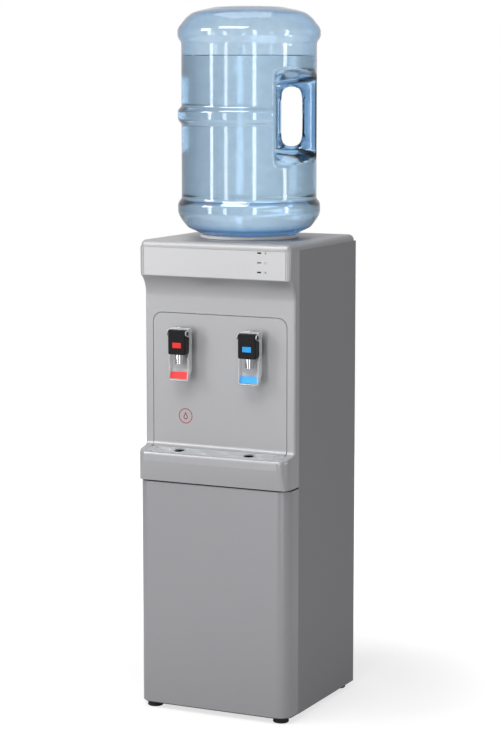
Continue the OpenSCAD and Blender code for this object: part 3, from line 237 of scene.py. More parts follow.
# %% Tools for node trees
def add_node(tree, kind, *parts, **values):
    """Adds a node. parts fill its first inputs, and values its properties and its inputs by name."""
    node = tree.nodes.new(kind)
    pairs = list(zip(node.inputs, parts))
    for key, value in values.items():
        if hasattr(node, key):
            setattr(node, key, value)
        else:
            pairs.append((node.inputs[key.replace("_", " ")], value))
    for socket, part in pairs:
        if isinstance(part, bpy.types.Node):
            part = part.outputs[0]
        if isinstance(part, bpy.types.NodeSocket):
            tree.links.new(part, socket)
        else:
            socket.default_value = part
    return node


def add_math(tree, operation, *parts, **values):
    return add_node(tree, "ShaderNodeMath", *parts, operation=operation, **values)


def add_vector_math(tree, operation, *parts):
    return add_node(tree, "ShaderNodeVectorMath", *parts, operation=operation).outputs["Value"]


def add_span(tree, source, before, after=(0.0, 1.0), kind="LINEAR"):
    """Maps the span before to the span after."""
    return add_node(tree, "ShaderNodeMapRange", source, interpolation_type=kind,
                    From_Min=before[0], From_Max=before[1], To_Min=after[0], To_Max=after[1])


def add_ramp(tree, source, stops):
    """Maps a value to a colour. Each stop is a value and its colour."""
    node = add_node(tree, "ShaderNodeValToRGB", source)
    ramp = node.color_ramp.elements
    while len(ramp) < len(stops):
        ramp.new(0.5)
    for stop, (place, colour) in zip(ramp, stops):
        stop.position = place
        stop.color = (*colour, 1)
    return node


def object_place(tree):
    return add_node(tree, "ShaderNodeTexCoord").outputs["Object"]


print("node tools ready")

# %% [markdown]
# ## Finishes
# A painted or moulded surface is never one flat colour. Each finish here starts from plain values
# on the shader, and then a fine noise in object space changes its colour and its gloss a little
# and lifts its surface by a hair, as paint flakes and moulding grain do. The pattern is fixed to
# the object, so it stays put from every side.

# %% Tools for finishes
def new_material(name, values):
    material = bpy.data.materials.new(name)
    material.use_nodes = True
    surface = material.node_tree.nodes["Principled BSDF"]
    for socket, value in values.items():
        surface.inputs[socket].default_value = value
    return material, material.node_tree, surface


def paint(name, colour, rough, metal, size, lift, shade_change, gloss_change, extra=(), stretch=(1, 1, 1)):
    """A finish with grain: its size per metre, its lift in metres, its change of shade and of gloss."""
    material, tree, surface = new_material(
        name, {"Base Color": (*colour, 1), "Roughness": rough, "Metallic": metal, **dict(extra)})
    fixed = add_node(tree, "ShaderNodeMapping", object_place(tree), Scale=stretch)
    grain = add_node(tree, "ShaderNodeTexNoise", fixed, Scale=size, Detail=3.0).outputs["Fac"]
    low, high = 0.3, 0.7
    darker, lighter = 1 - shade_change, 1 + shade_change
    shades = add_ramp(tree, grain, [(low, [max(c * darker, 0) for c in colour]),
                                    (high, [min(c * lighter, 1) for c in colour])])
    glosses = (max(rough - gloss_change, 0.02), min(rough + gloss_change, 1.0))
    bump = add_node(tree, "ShaderNodeBump", Height=grain, Strength=0.35, Distance=lift)
    for source, socket in ((shades, "Base Color"), (add_span(tree, grain, (low, high), glosses), "Roughness"),
                           (bump, "Normal")):
        tree.links.new(source.outputs[0], surface.inputs[socket])
    return material


def coat(weight, rough):
    return {"Coat Weight": weight, "Coat Roughness": rough}


def see_through(ior, share):
    return {"IOR": ior, "Transmission Weight": share}


print("finish tools ready")

# %% [markdown]
# The silver paint is a clear lacquer over fine metal flakes, so it is half metal: it picks up the
# bright and dark parts of the room softly. The steel sides have the same colour in a duller powder
# coat, and the header plate is a lighter silver.
# The numbers of a finish are its roughness, its metal share, the size and the lift of its grain, and
# how far the grain changes its shade and its gloss.

# %% Silver finishes
silver = paint("silver_paint", (0.43, 0.43, 0.44), 0.36, 0.42, 2600, 2e-5, 0.05, 0.04, coat(0.25, 0.2))
light_silver = paint("light_silver", (0.55, 0.55, 0.56), 0.36, 0.32, 2600, 2e-5, 0.03, 0.03, coat(0.15, 0.25))
cover_silver = paint("cover_silver", (0.40, 0.40, 0.41), 0.42, 0.35, 2600, 2e-5, 0.04, 0.04, coat(0.1, 0.3))
door_silver = paint("door_silver", (0.36, 0.36, 0.375), 0.34, 0.5, 2600, 2e-5, 0.05, 0.04, coat(0.25, 0.2))
steel_coat = paint("powder_coat", (0.29, 0.29, 0.30), 0.5, 0.15, 1500, 4e-5, 0.05, 0.05)
pan_coat = paint("pan_coat", (0.09, 0.09, 0.095), 0.5, 0.3, 1500, 4e-5, 0.08, 0.06)
bare_steel = paint("bare_steel", (0.56, 0.56, 0.57), 0.28, 1.0, 900, 2e-5, 0.06, 0.08, stretch=(1, 1, 0.04))
aluminium = paint("aluminium", (0.70, 0.71, 0.72), 0.32, 1.0, 1200, 2e-5, 0.05, 0.06, stretch=(0.05, 1, 1))
chrome = paint("chrome", (0.80, 0.81, 0.83), 0.07, 1.0, 300, 4e-6, 0.02, 0.02)
print("silver finishes ready")

# %% Plastics, rubber and clear finishes
grille_grey = paint("grille_grey", (0.46, 0.47, 0.48), 0.4, 0.35, 2200, 2e-5, 0.05, 0.05)
tray_grey = paint("tray_grey", (0.46, 0.47, 0.48), 0.4, 0.35, 2200, 2e-5, 0.05, 0.05)
collar_white = paint("collar_white", (0.80, 0.80, 0.81), 0.32, 0, 1800, 2e-5, 0.03, 0.04)
white_plastic = paint("white_plastic", (0.72, 0.72, 0.70), 0.42, 0, 1600, 3e-5, 0.03, 0.05)
black_plastic = paint("black_plastic", (0.012, 0.012, 0.013), 0.42, 0, 1600, 4e-5, 0.2, 0.08)
black_gloss = paint("black_gloss", (0.007, 0.007, 0.008), 0.3, 0, 1400, 1e-5, 0.15, 0.05,
                    {"Specular IOR Level": 0.25})
black_rubber = paint("black_rubber", (0.010, 0.010, 0.010), 0.75, 0, 1200, 8e-5, 0.2, 0.08)
silicone = paint("silicone", (0.75, 0.75, 0.72), 0.45, 0, 900, 3e-5, 0.03, 0.05, {"Subsurface Weight": 0.1})
foam = paint("foam", (0.78, 0.72, 0.50), 0.9, 0, 500, 5e-4, 0.12, 0.05)
ceramic = paint("ceramic", (0.85, 0.85, 0.83), 0.4, 0, 1500, 2e-5, 0.03, 0.05)
board_green = paint("board_green", (0.01, 0.08, 0.025), 0.3, 0, 700, 2e-5, 0.25, 0.08)
heater_steel = paint("heater_steel", (0.45, 0.38, 0.32), 0.35, 1.0, 400, 5e-5, 0.12, 0.1, stretch=(1, 1, 4))
cap_blue = paint("cap_blue", (0.45, 0.62, 0.85), 0.3, 0, 900, 2e-5, 0.04, 0.05)
ink_grey = paint("ink_grey", (0.10, 0.10, 0.11), 0.5, 0, 2000, 1e-5, 0.1, 0.05)
ink_red = paint("ink_red", (0.32, 0.008, 0.015), 0.5, 0, 2000, 1e-5, 0.1, 0.05)
thin_coat, lamp_coat = {"Coat Weight": 0.1}, {"Coat Weight": 0.5}
red = paint("red_plastic", (0.80, 0.012, 0.012), 0.4, 0, 900, 1e-5, 0.08, 0.04, thin_coat)
blue = paint("blue_plastic", (0.01, 0.34, 0.80), 0.4, 0, 900, 1e-5, 0.08, 0.04, thin_coat)
lamp_red = paint("lamp_red", (0.035, 0.004, 0.004), 0.2, 0, 900, 1e-5, 0.2, 0.05, lamp_coat)
lamp_yellow = paint("lamp_yellow", (0.22, 0.20, 0.11), 0.2, 0, 900, 1e-5, 0.2, 0.05, lamp_coat)
lamp_green = paint("lamp_green", (0.003, 0.035, 0.028), 0.2, 0, 900, 1e-5, 0.2, 0.05, lamp_coat)
clear = paint("clear_plastic", (0.94, 0.95, 0.96), 0.16, 0, 700, 1e-5, 0.02, 0.04, see_through(1.46, 0.62))
bottle_blue = paint("bottle_blue", (0.70, 0.81, 0.90), 0.08, 0, 60, 8e-5, 0.02, 0.02, see_through(1.5, 1.0))
water_clear = paint("water", (0.905, 0.953, 0.98), 0.01, 0, 30, 1e-5, 0.005, 0.008, see_through(1.333, 1.0))
print("finishes:", len(bpy.data.materials))

# %% [markdown]
# Seen along its wall, the bottle's plastic is many times thicker than seen through it, so its edges
# are a deeper blue. A Layer Weight node gives how far the wall is turned away, and a ramp turns that
# into a darker tint. The plastic is also thicker at the shoulder by the neck, and there a mask in
# object space does the same. A second mask darkens the grip's pocket with painted shade. The drip
# tray is painted almost black below its flat ends, as painted shade that makes its holes look dark.

# %% Tints that change over a part
def multiply_colour(material, tint, amount=1.0):
    """Multiplies the colour by a tint. Tint and amount are values or nodes."""
    tree = material.node_tree
    base = tree.nodes["Principled BSDF"].inputs["Base Color"]
    if isinstance(tint, tuple):
        tint = (*tint, 1)
    blend = add_node(tree, "ShaderNodeMix", data_type="RGBA", blend_type="MULTIPLY", Factor=amount,
                     A=base.links[0].from_socket, B=tint)
    tree.links.new(blend.outputs["Result"], base)


def edge_tint(material, stops):
    """A tint for each amount by which the surface is turned away from the viewer."""
    tree = material.node_tree
    return add_ramp(tree, add_node(tree, "ShaderNodeLayerWeight", Blend=0.5).outputs["Facing"], stops)


def below_mask(material, none_at, full_at, lean=0.0):
    """One below full_at and none above none_at, on a plane that rises by lean towards the back."""
    tree = material.node_tree
    down = add_vector_math(tree, "DOT_PRODUCT", object_place(tree), (0, lean, -1))
    return add_span(tree, down, (-none_at, -full_at), kind="SMOOTHSTEP")


def near_mask(material, centre, turn, reach):
    """One inside an oval that is turned about the upright, and none outside it."""
    tree = material.node_tree
    local = add_node(tree, "ShaderNodeMapping", object_place(tree), vector_type="TEXTURE",
                     Location=centre, Rotation=(0, 0, turn), Scale=reach)
    return add_span(tree, add_vector_math(tree, "LENGTH", local), (1.15, 0.85), kind="SMOOTHSTEP")


grip_out = 0.088
grip_centre = (grip_out * math.cos(grip_turn), grip_out * math.sin(grip_turn) + axis_y, grip_mid)
grip_reach = (0.050, 0.055, 0.098)
facing_tints = ((0.30, (1, 1, 1)), (0.70, (0.62, 0.77, 0.90)), (1.0, (0.12, 0.30, 0.55)))
multiply_colour(bottle_blue, edge_tint(bottle_blue, facing_tints))
# Painted shade: the grip's pocket is darkened by a blue-grey tint inside an oval.
grip_pocket_painted_shade = near_mask(bottle_blue, grip_centre, grip_turn, grip_reach)
multiply_colour(bottle_blue, (0.60, 0.73, 0.85), grip_pocket_painted_shade)
at_shoulder = below_mask(bottle_blue, collar_top + 0.026, collar_top + 0.006)
multiply_colour(bottle_blue, (0.30, 0.54, 0.80), at_shoulder)
# Painted shade: below its flat ends the tray is painted almost black, so the grille's holes look dark.
tray_plane = tray_high.z - tray_high.y * slope
tray_painted_shade = below_mask(tray_grey, tray_plane - 0.0025, tray_plane - 0.0040, slope)
multiply_colour(tray_grey, (0.03, 0.03, 0.03), tray_painted_shade)
print("tinted: bottle and tray; collar top at z", round(collar_top, 4))

# %% [markdown]
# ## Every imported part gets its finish
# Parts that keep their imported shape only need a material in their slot. The list names the finish
# once and then the parts that wear it.

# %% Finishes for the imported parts
wearers = {
    steel_coat: "side_panel_left side_panel_right rear_panel",
    pan_coat: "base_pan",
    bare_steel: "tank_shelves cold_tank hot_tank door_strike hinge_pins panel_screws valve_springs",
    silver: "front_fascia tap_panel",
    light_silver: "header_panel",
    cover_silver: "top_cover",
    door_silver: "door",
    aluminium: "heat_sink cold_block",
    chrome: "tap_spouts pivot_pins",
    grille_grey: "drip_grille",
    tray_grey: "drip_tray",
    collar_white: "bottle_seat",
    white_plastic: "door_inner_panel feed_probe baffle drain_pipe tap_nuts",
    black_plastic: "door_magnet fan_frame fan_rotor thermostats drain_cap switch_housings cord_gland",
    black_gloss: "hot_tap_body cold_tap_body",
    black_rubber: "feet",
    silicone: "feed_hose tap_hoses hot_plunger cold_plunger",
    foam: "foam_jacket hot_sleeve",
    ceramic: "cooling_module",
    board_green: "circuit_boards",
    heater_steel: "band_heater",
    red: "hot_rocker hot_window hot_strip",
    blue: "cold_rocker cold_window cold_strip",
    clear: "hot_paddle cold_paddle",
    cap_blue: "bottle_cap",
    bottle_blue: "bottle",
    lamp_red: "lamp_heating",
    lamp_yellow: "lamp_power",
    lamp_green: "lamp_cooling",
}
dressed = 0
for finish, names in wearers.items():
    for name in names.split():
        dressed += 1
        for holder in nodes[name].material_slots:
            holder.material = finish
print("parts with a finish:", dressed, "of", len(nodes))

# %% [markdown]
# ## The front moulding
# The real front is one moulding: header, cove, tap wall, ledge and apron flow into each other. Its
# shape follows a rule. One side line runs up the whole front, and the moulding is what lies behind
# that line and inside the rounded outline seen from above. Where the two meet, the edge is round.
# So the surface is found by a formula: rays start inside the body, and each stops where the rule
# says that the body ends. That gives even, soft corners that no bevel on a rough mesh could.

# %% Side line of the front
def rounded_line(corners, steps=6):
    """A line of (y, z) corners, each with a radius, as points along straight runs and arcs."""
    line = [np.array(corners[0][:2])]
    for k in range(1, len(corners) - 1):
        before, corner, after = (np.array(corners[j][:2]) for j in (k - 1, k, k + 1))
        radius = corners[k][2]
        u = (before - corner) / np.linalg.norm(before - corner)
        v = (after - corner) / np.linalg.norm(after - corner)
        if radius <= 0:
            line.append(corner)
            continue
        opening = math.acos(np.clip(u @ v, -1, 1))
        reach = radius / math.tan(opening / 2)
        centre = corner + (u + v) / np.linalg.norm(u + v) * radius / math.sin(opening / 2)
        first, last = corner + u * reach - centre, corner + v * reach - centre
        turn = math.atan2(first[0] * last[1] - first[1] * last[0], first @ last)
        for s in np.linspace(0, 1, steps + 1):
            c, d = math.cos(turn * s), math.sin(turn * s)
            line.append(centre + np.array([c * first[0] - d * first[1], d * first[0] + c * first[1]]))
    line.append(np.array(corners[-1][:2]))
    return np.array(line)


lip_back = 0.003
ledge_back = lip_top + lip_back + (wall_face - ledge_front - lip_back) * slope
cove_deep = wall_face - header_face
cove_high = header_base - cove_base
cove_radius = (cove_high ** 2 + cove_deep ** 2) / (2 * cove_deep)
cove_turn = math.asin(cove_high / cove_radius)
cove = [(wall_face - cove_radius * (1 - math.cos(a)), cove_base + cove_radius * math.sin(a), 0)
        for a in np.linspace(0, cove_turn, 15)]
side_line = rounded_line([
    (ledge_front + 0.009, shell_low.z, 0), (ledge_front, lip_base, 0.0025),
    (ledge_front, lip_top + lip_back - lip_back * slope, 0.0064), (wall_face, ledge_back, 0.008),
    *cove[:-1], (header_face, header_base, 0.0016), (header_face, joint_height, 0)])
print("side line:", len(side_line), "points, ledge meets the wall at z", round(ledge_back, 4))

# %% Rule that says where the body ends
def to_line(y, z):
    """Distance to the side line, negative behind it."""
    a, b = side_line[:-1], side_line[1:]
    a = np.vstack([a[0] - (b[0] - a[0]), a])
    b = np.vstack([side_line[0], b])
    b[-1] = b[-1] + np.array([0, 0.05])
    run = b - a
    point = np.stack([y, z], -1)[:, None, :]
    t = np.clip(((point - a) * run).sum(-1) / (run * run).sum(-1), 0, 1)
    gap = np.linalg.norm(point - a - run * t[..., None], axis=-1).min(1)
    behind = y > np.interp(z, side_line[:, 1], side_line[:, 0])
    return np.where(behind, -gap, gap)


above_ledge = ledge_back + 0.02


def to_outline(x, y, z):
    """Distance to the outline seen from above: round front corners low down, square ones higher up."""
    low = z < above_ledge
    corner = np.where(low, corner_round, 0.001)
    front = np.where(low, ledge_front, -1.0)
    dx = np.abs(x) - (half_width - corner)
    dy = (front + corner) - y
    outside = np.sqrt(np.maximum(dx, 0) ** 2 + np.maximum(dy, 0) ** 2)
    return outside + np.minimum(np.maximum(dx, dy), 0) - corner


def body_rule(x, y, z):
    """Below zero inside the body: behind the line and within the outline, with a round edge between."""
    edge = np.interp(z, [lip_top, above_ledge, cove_base, header_base + 0.004], [0.0045, 0.005, 0.005, 0.008])
    a, b = to_line(y, z) + edge, to_outline(x, y, z) + edge
    return np.minimum(np.maximum(a, b), 0) + np.sqrt(np.maximum(a, 0) ** 2 + np.maximum(b, 0) ** 2) - edge


def last_inside(start, heading, reach=0.06, steps=26):
    """Where each ray leaves the body, found by halving."""
    low = np.zeros(len(start))
    high = np.full(len(start), reach)
    for _ in range(steps):
        middle = (low + high) / 2
        p = start + heading * middle[:, None]
        inside = body_rule(p[:, 0], p[:, 1], p[:, 2]) < 0
        low = np.where(inside, middle, low)
        high = np.where(inside, high, middle)
    return start + heading * low[:, None]


print("rule ready")

# %% Skin of the front
stations = [side_line[0]]
for a, b in zip(side_line[:-1], side_line[1:]):
    parts = max(1, round(np.linalg.norm(b - a) / 0.011))
    stations += [a + (b - a) * k / parts for k in range(1, parts + 1)]
stations = np.array(stations)
heights = stations[:, 1]
along = np.gradient(stations, axis=0)
ray = np.stack([-along[:, 1], along[:, 0]], 1)
ray /= np.linalg.norm(ray, axis=1)[:, None]
ray[(heights < lip_top) | (heights > cove_base + 0.01)] = (-1, 0)
for _ in range(6):
    ray[1:-1] = (ray[:-2] + 2 * ray[1:-1] + ray[2:]) / 4
ray[0] = ray[-1] = (-1, 0)
ray /= np.linalg.norm(ray, axis=1)[:, None]
depth = np.interp(heights, [lip_base, lip_top, ledge_back, cove_base, header_base],
                  [0.016, 0.011, 0.009, 0.009, 0.012])
front_start = stations - ray * depth[:, None]
behind_lip, behind_wall, behind_header = ledge_front + 0.029, wall_face + 0.010, header_face + 0.012
spine = np.array([
    (shell_low.z, behind_lip, shell_low.z), (lip_base, behind_lip, lip_base),
    (lip_top, behind_lip, lip_top - 0.011), (ledge_back - 0.0012, wall_face + 0.002, ledge_back - 0.006),
    (ledge_back + 0.008, behind_wall, ledge_back + 0.012), (cove_base, behind_wall, cove_base),
    (header_base, behind_header, header_base), (joint_height, behind_header, joint_height)])
side_start = np.stack([np.interp(heights, spine[:, 0], spine[:, k]) for k in (1, 2)], 1)
corner_x = half_width - np.interp(front_start[:, 0], [ledge_front + 0.01, ledge_front + 0.03], [0.021, 0.009])
fan = np.linspace(0, math.pi / 2, 23)
points = []
for k in range(len(stations)):
    row = [(x, *front_start[k], 0.0) for x in (0.0, 0.06, 0.118)]
    for a in fan:
        blend = ease(a / fan[-1])
        row.append((corner_x[k], *(front_start[k] * (1 - blend) + side_start[k] * blend), a))
    y, z = side_start[k]
    row += [(corner_x[k], y + (seam - y) * t, z, math.pi / 2) for t in (0.4, 0.75, 1.0)]
    row = np.array(row)
    turn = row[:, 3]
    heading = np.stack([np.sin(turn), np.cos(turn) * ray[k, 0], np.cos(turn) * ray[k, 1]], 1)
    points.append(last_inside(row[:, :3], heading))
right = np.array(points)
skin = np.concatenate([right[:, :0:-1] * (-1, 1, 1), right], axis=1)
front = new_piece("front_moulding", skin.reshape(-1, 3), grid_faces(*skin.shape[:2]), silver, 50)
wall = front.modifiers.new("wall", "SOLIDIFY")
wall.thickness = shell_wall
wall.offset = -1
settle(front)
print("front skin:", skin.shape[0], "rows of", skin.shape[1], "points")

# %% [markdown]
# The tap panel, the drip tray and the header plate are parts of their own and sit in openings of
# the moulding. Each opening is cut with a simple block that is a little larger than its part, so
# a fine groove stays round it, as it does on the machine.

# %% Cutting the openings
def rounded_block(name, centre, size, radius, axis="y", square_foot=False, steps=10):
    """A block with round corners along y or z, as a tool for cutting."""
    w, h, d = (s / 2 for s in size)
    outline = []
    for cx, cy, start in ((1, 1, 0), (-1, 1, 90), (-1, -1, 180), (1, -1, 270)):
        r = 0.0005 if (square_foot and cy < 0) else radius
        outline += [(cx * (w - r) + r * math.cos(a), cy * (h - r) + r * math.sin(a))
                    for a in np.radians(start + np.linspace(0, 90, steps))]
    points = [(x, end, y) if axis == "y" else (x, y, end) for end in (-d, d) for x, y in outline]
    n = len(outline)
    faces = [tuple(range(n)), tuple(range(n, 2 * n))] + grid_faces(2, n, close_columns=True)
    block = new_piece(name, np.array(points) + np.array(centre), faces, silver)
    weld(block.data, outward=True)
    return block


def carve(piece, tools):
    for tool in tools:
        cut = piece.modifiers.new(tool.name, "BOOLEAN")
        cut.object = tool
        cut.operation = "DIFFERENCE"
        cut.solver = "EXACT"
    settle(piece)
    for tool in tools:
        bpy.data.objects.remove(tool)
    return piece


spare, groove = 0.0008, 0.0011
panel_base = ledge_back - 0.001
panel_width = panel_high.x - panel_low.x + 2 * groove
openings = [
    rounded_block("panel opening", (0, wall_face, (panel_base + panel_high.z) / 2),
                  (panel_width, panel_high.z - panel_base + 2 * groove, 0.03), 0.0187, square_foot=True),
    rounded_block("foot opening", (0, (tray_high.y + wall_face) / 2, panel_base + 0.002),
                  (panel_width, 0.012, wall_face - tray_high.y + 0.008), 0.0006),
    rounded_block("tray opening", (0, (tray_low.y + tray_high.y) / 2, ledge_back),
                  (tray_high.x - tray_low.x + spare, tray_high.y - tray_low.y + spare, 0.06), 0.0084, "z"),
    rounded_block("header opening", (0, header_face, (header_low.z + header_high.z) / 2),
                  (header_high.x - header_low.x + spare, header_high.z - header_low.z + spare, 0.0032),
                  0.0013),
]
carve(front, openings)
shade(front, 32)
even_light(front)
tie(front, "cabinet", "fascia", "front_fascia")

# %% [markdown]
# The parts round the front get soft edges too, where light catches them: the rims of the tap panel
# and of the header plate, the outer front edge of each side sheet, and the collar.

# %% Parts that sit round the front
def rim_at(face):
    """Picks the edges that lie in the front face at this y."""
    return lambda a, b: max(a.y, b.y) < face + 1e-5


def sheet_edge(a, b):
    return max(a.y, b.y) < sheet_front + 1e-4 and min(abs(a.x), abs(b.x)) > half_width - 1e-4


remake("tap_panel", "tap_panel_moulding", silver, "cabinet", "fascia", 0.0004, picked=rim_at(wall_face))
remake("header_panel", "header_plate", light_silver, "cabinet", "header", 0.0005, picked=rim_at(header_face))
tie(even_light(copy_of("top_cover", "top_moulding", cover_silver)), "cabinet", "cover", "top_cover")
for side in ("left", "right"):
    remake("side_panel_" + side, "side_sheet_" + side, steel_coat, "cabinet", "steel_panel", 0.0009, 3,
           picked=sheet_edge)
remake("bottle_seat", "bottle_collar", collar_white, "cabinet", "collar", 0.0008, 3)

# %% [markdown]
# ## The door
# The door is one moulded shell with round upright corners. A moulding never ends in a knife edge,
# so the outer rims of its top and foot are rounded, by about a millimetre.

# %% Door
def outer_rim(a, b):
    """Picks the level edges round the outside of the door's top and foot."""
    level = abs(a.z - b.z) < 1e-6 and (abs(a.z - door_high.z) < 1e-5 or abs(a.z - door_low.z) < 1e-5)
    back, out = max(a.y, b.y), [abs(a.x), abs(b.x)]
    before_seam = min(a.y, b.y) < seam - 0.0009
    outside = max(out) > half_width - 1e-5 or back < door_face + 0.0235
    front_or_corner = back < door_face + 1e-5 or min(out) > half_width - 0.0245
    return level and before_seam and outside and front_or_corner


remake("door", "door_moulding", door_silver, "door", "door", 0.0012, 4, picked=outer_rim)

# %% [markdown]
# A black strip fills the gap between the door and the moulding above it, as painted shade that keeps
# the gap a dark line. It follows the outline of the front, set back from the faces above and below.

# %% Painted shade: a black strip above the door
def plan_line(inset, steps=8):
    """Line round the front, seen from above, from the left seam to the right one."""
    w, y, r = half_width - inset, door_face + inset, corner_round - inset
    quarter = np.linspace(0, math.pi / 2, steps)
    line = [(-w, seam)]
    line += [(-w + r - r * math.cos(a), y + r - r * math.sin(a)) for a in quarter]
    line += [(w - r + r * math.sin(a), y + r - r * math.cos(a)) for a in quarter]
    return line + [(w, seam)]


outer_line, inner_line = plan_line(0.0022), plan_line(0.0080)
gap_shade_low, gap_shade_high = door_high.z + 0.0004, shell_low.z + 0.0008
gap_shade_points = [(x, y, z) for pair in zip(outer_line, inner_line)
               for (x, y), z in zip((*pair, *pair[::-1]), (gap_shade_low, gap_shade_low, gap_shade_high, gap_shade_high))]
n = len(gap_shade_points)
gap_shade_faces = grid_faces(n // 4, 4, close_columns=True) + [tuple(range(4)), tuple(range(n - 4, n))]
# Painted shade: a black strip in the door gap that keeps the gap dark.
gap_shade_strip = new_piece("door_gap_shade", gap_shade_points, gap_shade_faces, black_rubber, 30)
weld(gap_shade_strip.data, outward=True)
tie(gap_shade_strip, "cabinet", "rubber")

# %% [markdown]
# ## The bottle
# The bottle is blow-moulded: a thin wall that follows one round profile with three ribs, pinched
# in on one side to leave a grip with a finger hole. Seen from the axis, the wall has one distance
# in each direction, so a grid of directions and heights describes it. The profile, the pinched
# pockets and the grip are blended by soft minimums, which gives them moulded corners. The hole is
# cut afterwards. The same rule, moved inwards by the wall, makes the inside and the water.

# %% Bottle profile
samples = 900
body_radius = 0.127
foot_z, mouth_z = bottle_high.z, bottle_low.z
profile = np.array([
    (0.0001, 0.0035), (20, 3.2), (47, 0), (66, 1.2), (80.7, 4.5), (95, 7.6), (107.3, 12), (119.5, 22),
    (127, 32), (131.5, 37.5), (134, 43), (134, 55), (131.5, 60.5), (127, 66), (127, 90), (127, 125),
    (127, 160), (127, 185), (131.5, 188.5), (134, 192.5), (134, 208), (131.5, 213), (127, 217), (127, 250),
    (127, 290), (127, 330), (127, 356), (131.5, 361), (134, 366), (134, 382), (131.5, 388.5), (126.7, 397),
    (116.3, 410), (99.9, 417.5), (81.8, 426.5), (60, 438.5), (46, 447), (34.5, 456.5), (29, 462), (27.5, 468),
    (27.5, 490), (27.5, 515.5)]) / 1000
spans = np.concatenate([[0], np.cumsum(np.linalg.norm(np.diff(profile, axis=0), axis=1))])
fine = np.linspace(0, spans[-1], samples)
fine_r, fine_h = np.interp(fine, spans, profile[:, 0]), np.interp(fine, spans, profile[:, 1])
kernel = np.exp(-np.linspace(-2.2, 2.2, 15) ** 2)
kernel /= kernel.sum()
fine_r[7:-7] = np.convolve(fine_r, kernel, "valid")
fine_h[7:-7] = np.convolve(fine_h, kernel, "valid")
slope_r, slope_h = np.gradient(fine_r), np.gradient(fine_h)
length = np.hypot(slope_r, slope_h)
out_r, out_h = slope_h / length, -slope_r / length
index = np.arange(samples)
bend = np.abs(np.gradient(np.unwrap(np.arctan2(slope_h, slope_r))))
density = 1 / 0.0062 + 160 * bend / bend.max() + np.where((fine_h > 0.11) & (fine_h < 0.30), 90, 0)
picks = np.interp(np.linspace(0, 1, 150), np.cumsum(density) / density.sum(), index)
print("bottle profile:", len(picks), "rings, bottle height", round(foot_z - mouth_z, 4))

# %% Bottle wall as a rule
pocket_half, pocket_taper, grip_half, pocket_in = 0.0845, 0.0145, 0.019, 0.047


def soft_min(a, b, k):
    h = np.clip(0.5 + 0.5 * (b - a) / k, 0, 1)
    return b + (a - b) * h - k * h * (1 - h)


def wall_points(inset, angles, rings):
    """Points of the wall, moved inwards by inset, for every angle and ring."""
    r = np.interp(rings, index, fine_r) - inset * np.interp(rings, index, out_r)
    h = np.interp(rings, index, fine_h) - inset * np.interp(rings, index, out_h)
    r = np.maximum(r, 0.0001)
    height = foot_z - h
    away = np.angle(np.exp(1j * (angles - grip_turn)))
    floor = (pocket_in - inset) / np.maximum(np.cos(away), 0.05)
    fin = (grip_half - inset) / np.maximum(np.abs(np.sin(away)), 0.02)
    pocket = np.where(np.abs(away) > 1.45, 1.0, -soft_min(-floor, -fin, 0.008))
    half = pocket_half + inset - pocket_taper * (1 - ease(np.clip(np.abs(away) / 1.1, 0, 1)))
    lift = np.abs(height - grip_mid)[None, :] - half[:, None]
    fade = ease(np.clip((lift + 0.014) / 0.020, 0, 1))
    near_grip = np.abs(height - grip_mid) < 0.07
    on_grip = np.clip((1.2 - np.abs(away)) / 0.25, 0, 1)[:, None] * near_grip[None, :]
    full = r[None, :] - np.maximum(r[None, :] - (body_radius - inset), 0) * on_grip
    deep = soft_min(full, pocket[:, None] * np.ones((1, len(r))), 0.007)
    radius = deep + (full - deep) * fade
    x = radius * np.cos(angles)[:, None]
    y = radius * np.sin(angles)[:, None] + axis_y
    return np.stack([x, y, np.broadcast_to(height, radius.shape)], -1)


angle_fine = np.linspace(-math.pi, math.pi, 3601)
reach = np.minimum(body_radius, np.maximum(pocket_in / np.maximum(np.cos(angle_fine), 0.05),
                                           grip_half / np.maximum(np.abs(np.sin(angle_fine)), 0.02)))
weight = np.sqrt(np.gradient(reach, angle_fine) ** 2 + reach ** 2) + 0.12
share = np.cumsum(weight) / weight.sum()
turns = np.interp(np.linspace(0, 1, 193)[:-1], share, angle_fine) + grip_turn
print("bottle grid:", len(turns), "by", len(picks))

# %% [markdown]
# The water's surface turns up a little where it meets the wall, so a few rings lead from its middle
# out to the rim. The finger hole is cut with a rounded block, and then its rim is rounded.

# %% Tools for the bottle
surface_rings = ((0.3, 0.0024), (0.9, 0.0023), (0.955, 0.0021), (0.98, 0.0015), (0.992, 0.0007))
hole_out, hole_wide, hole_high, hole_round = 0.0795, 0.035, 0.110, 0.015


def skin_of(name, inset, rings, finish, surface=False):
    """Closed shell of the wall. Rings run from the middle of the foot down to the mouth."""
    grid = wall_points(inset, turns, rings)
    if surface:
        middle = np.array([0, axis_y, grid[0, 0, 2]])
        lead = [middle + (grid[:, :1] - middle) * (f, f, 1) - (0, 0, depth) for f, depth in surface_rings]
        grid = np.concatenate([*lead, grid], axis=1)
    n, m = grid.shape[:2]
    points = list(grid.reshape(-1, 3))
    faces = grid_faces(n, m, close_rows=True)
    for b in (0, m - 1):
        points.append((0, axis_y, grid[0, b, 2]))
        faces += [(a * m + b, ((a + 1) % n) * m + b, len(points) - 1) for a in range(n)]
    shell = new_piece(name, points, faces, finish, 60)
    weld(shell.data, outward=True)
    return shell


def finger_hole(grow):
    tool = rounded_block("finger hole", (0, 0, 0), (hole_wide + 2 * grow, hole_high + 2 * grow, 0.3),
                         hole_round + grow, steps=9)
    c, s = math.cos(grip_turn), math.sin(grip_turn)
    for v in tool.data.vertices:
        x, y, z = v.co
        x += hole_out
        v.co = (x * c - y * s, x * s + y * c + axis_y, z + grip_mid)
    return tool


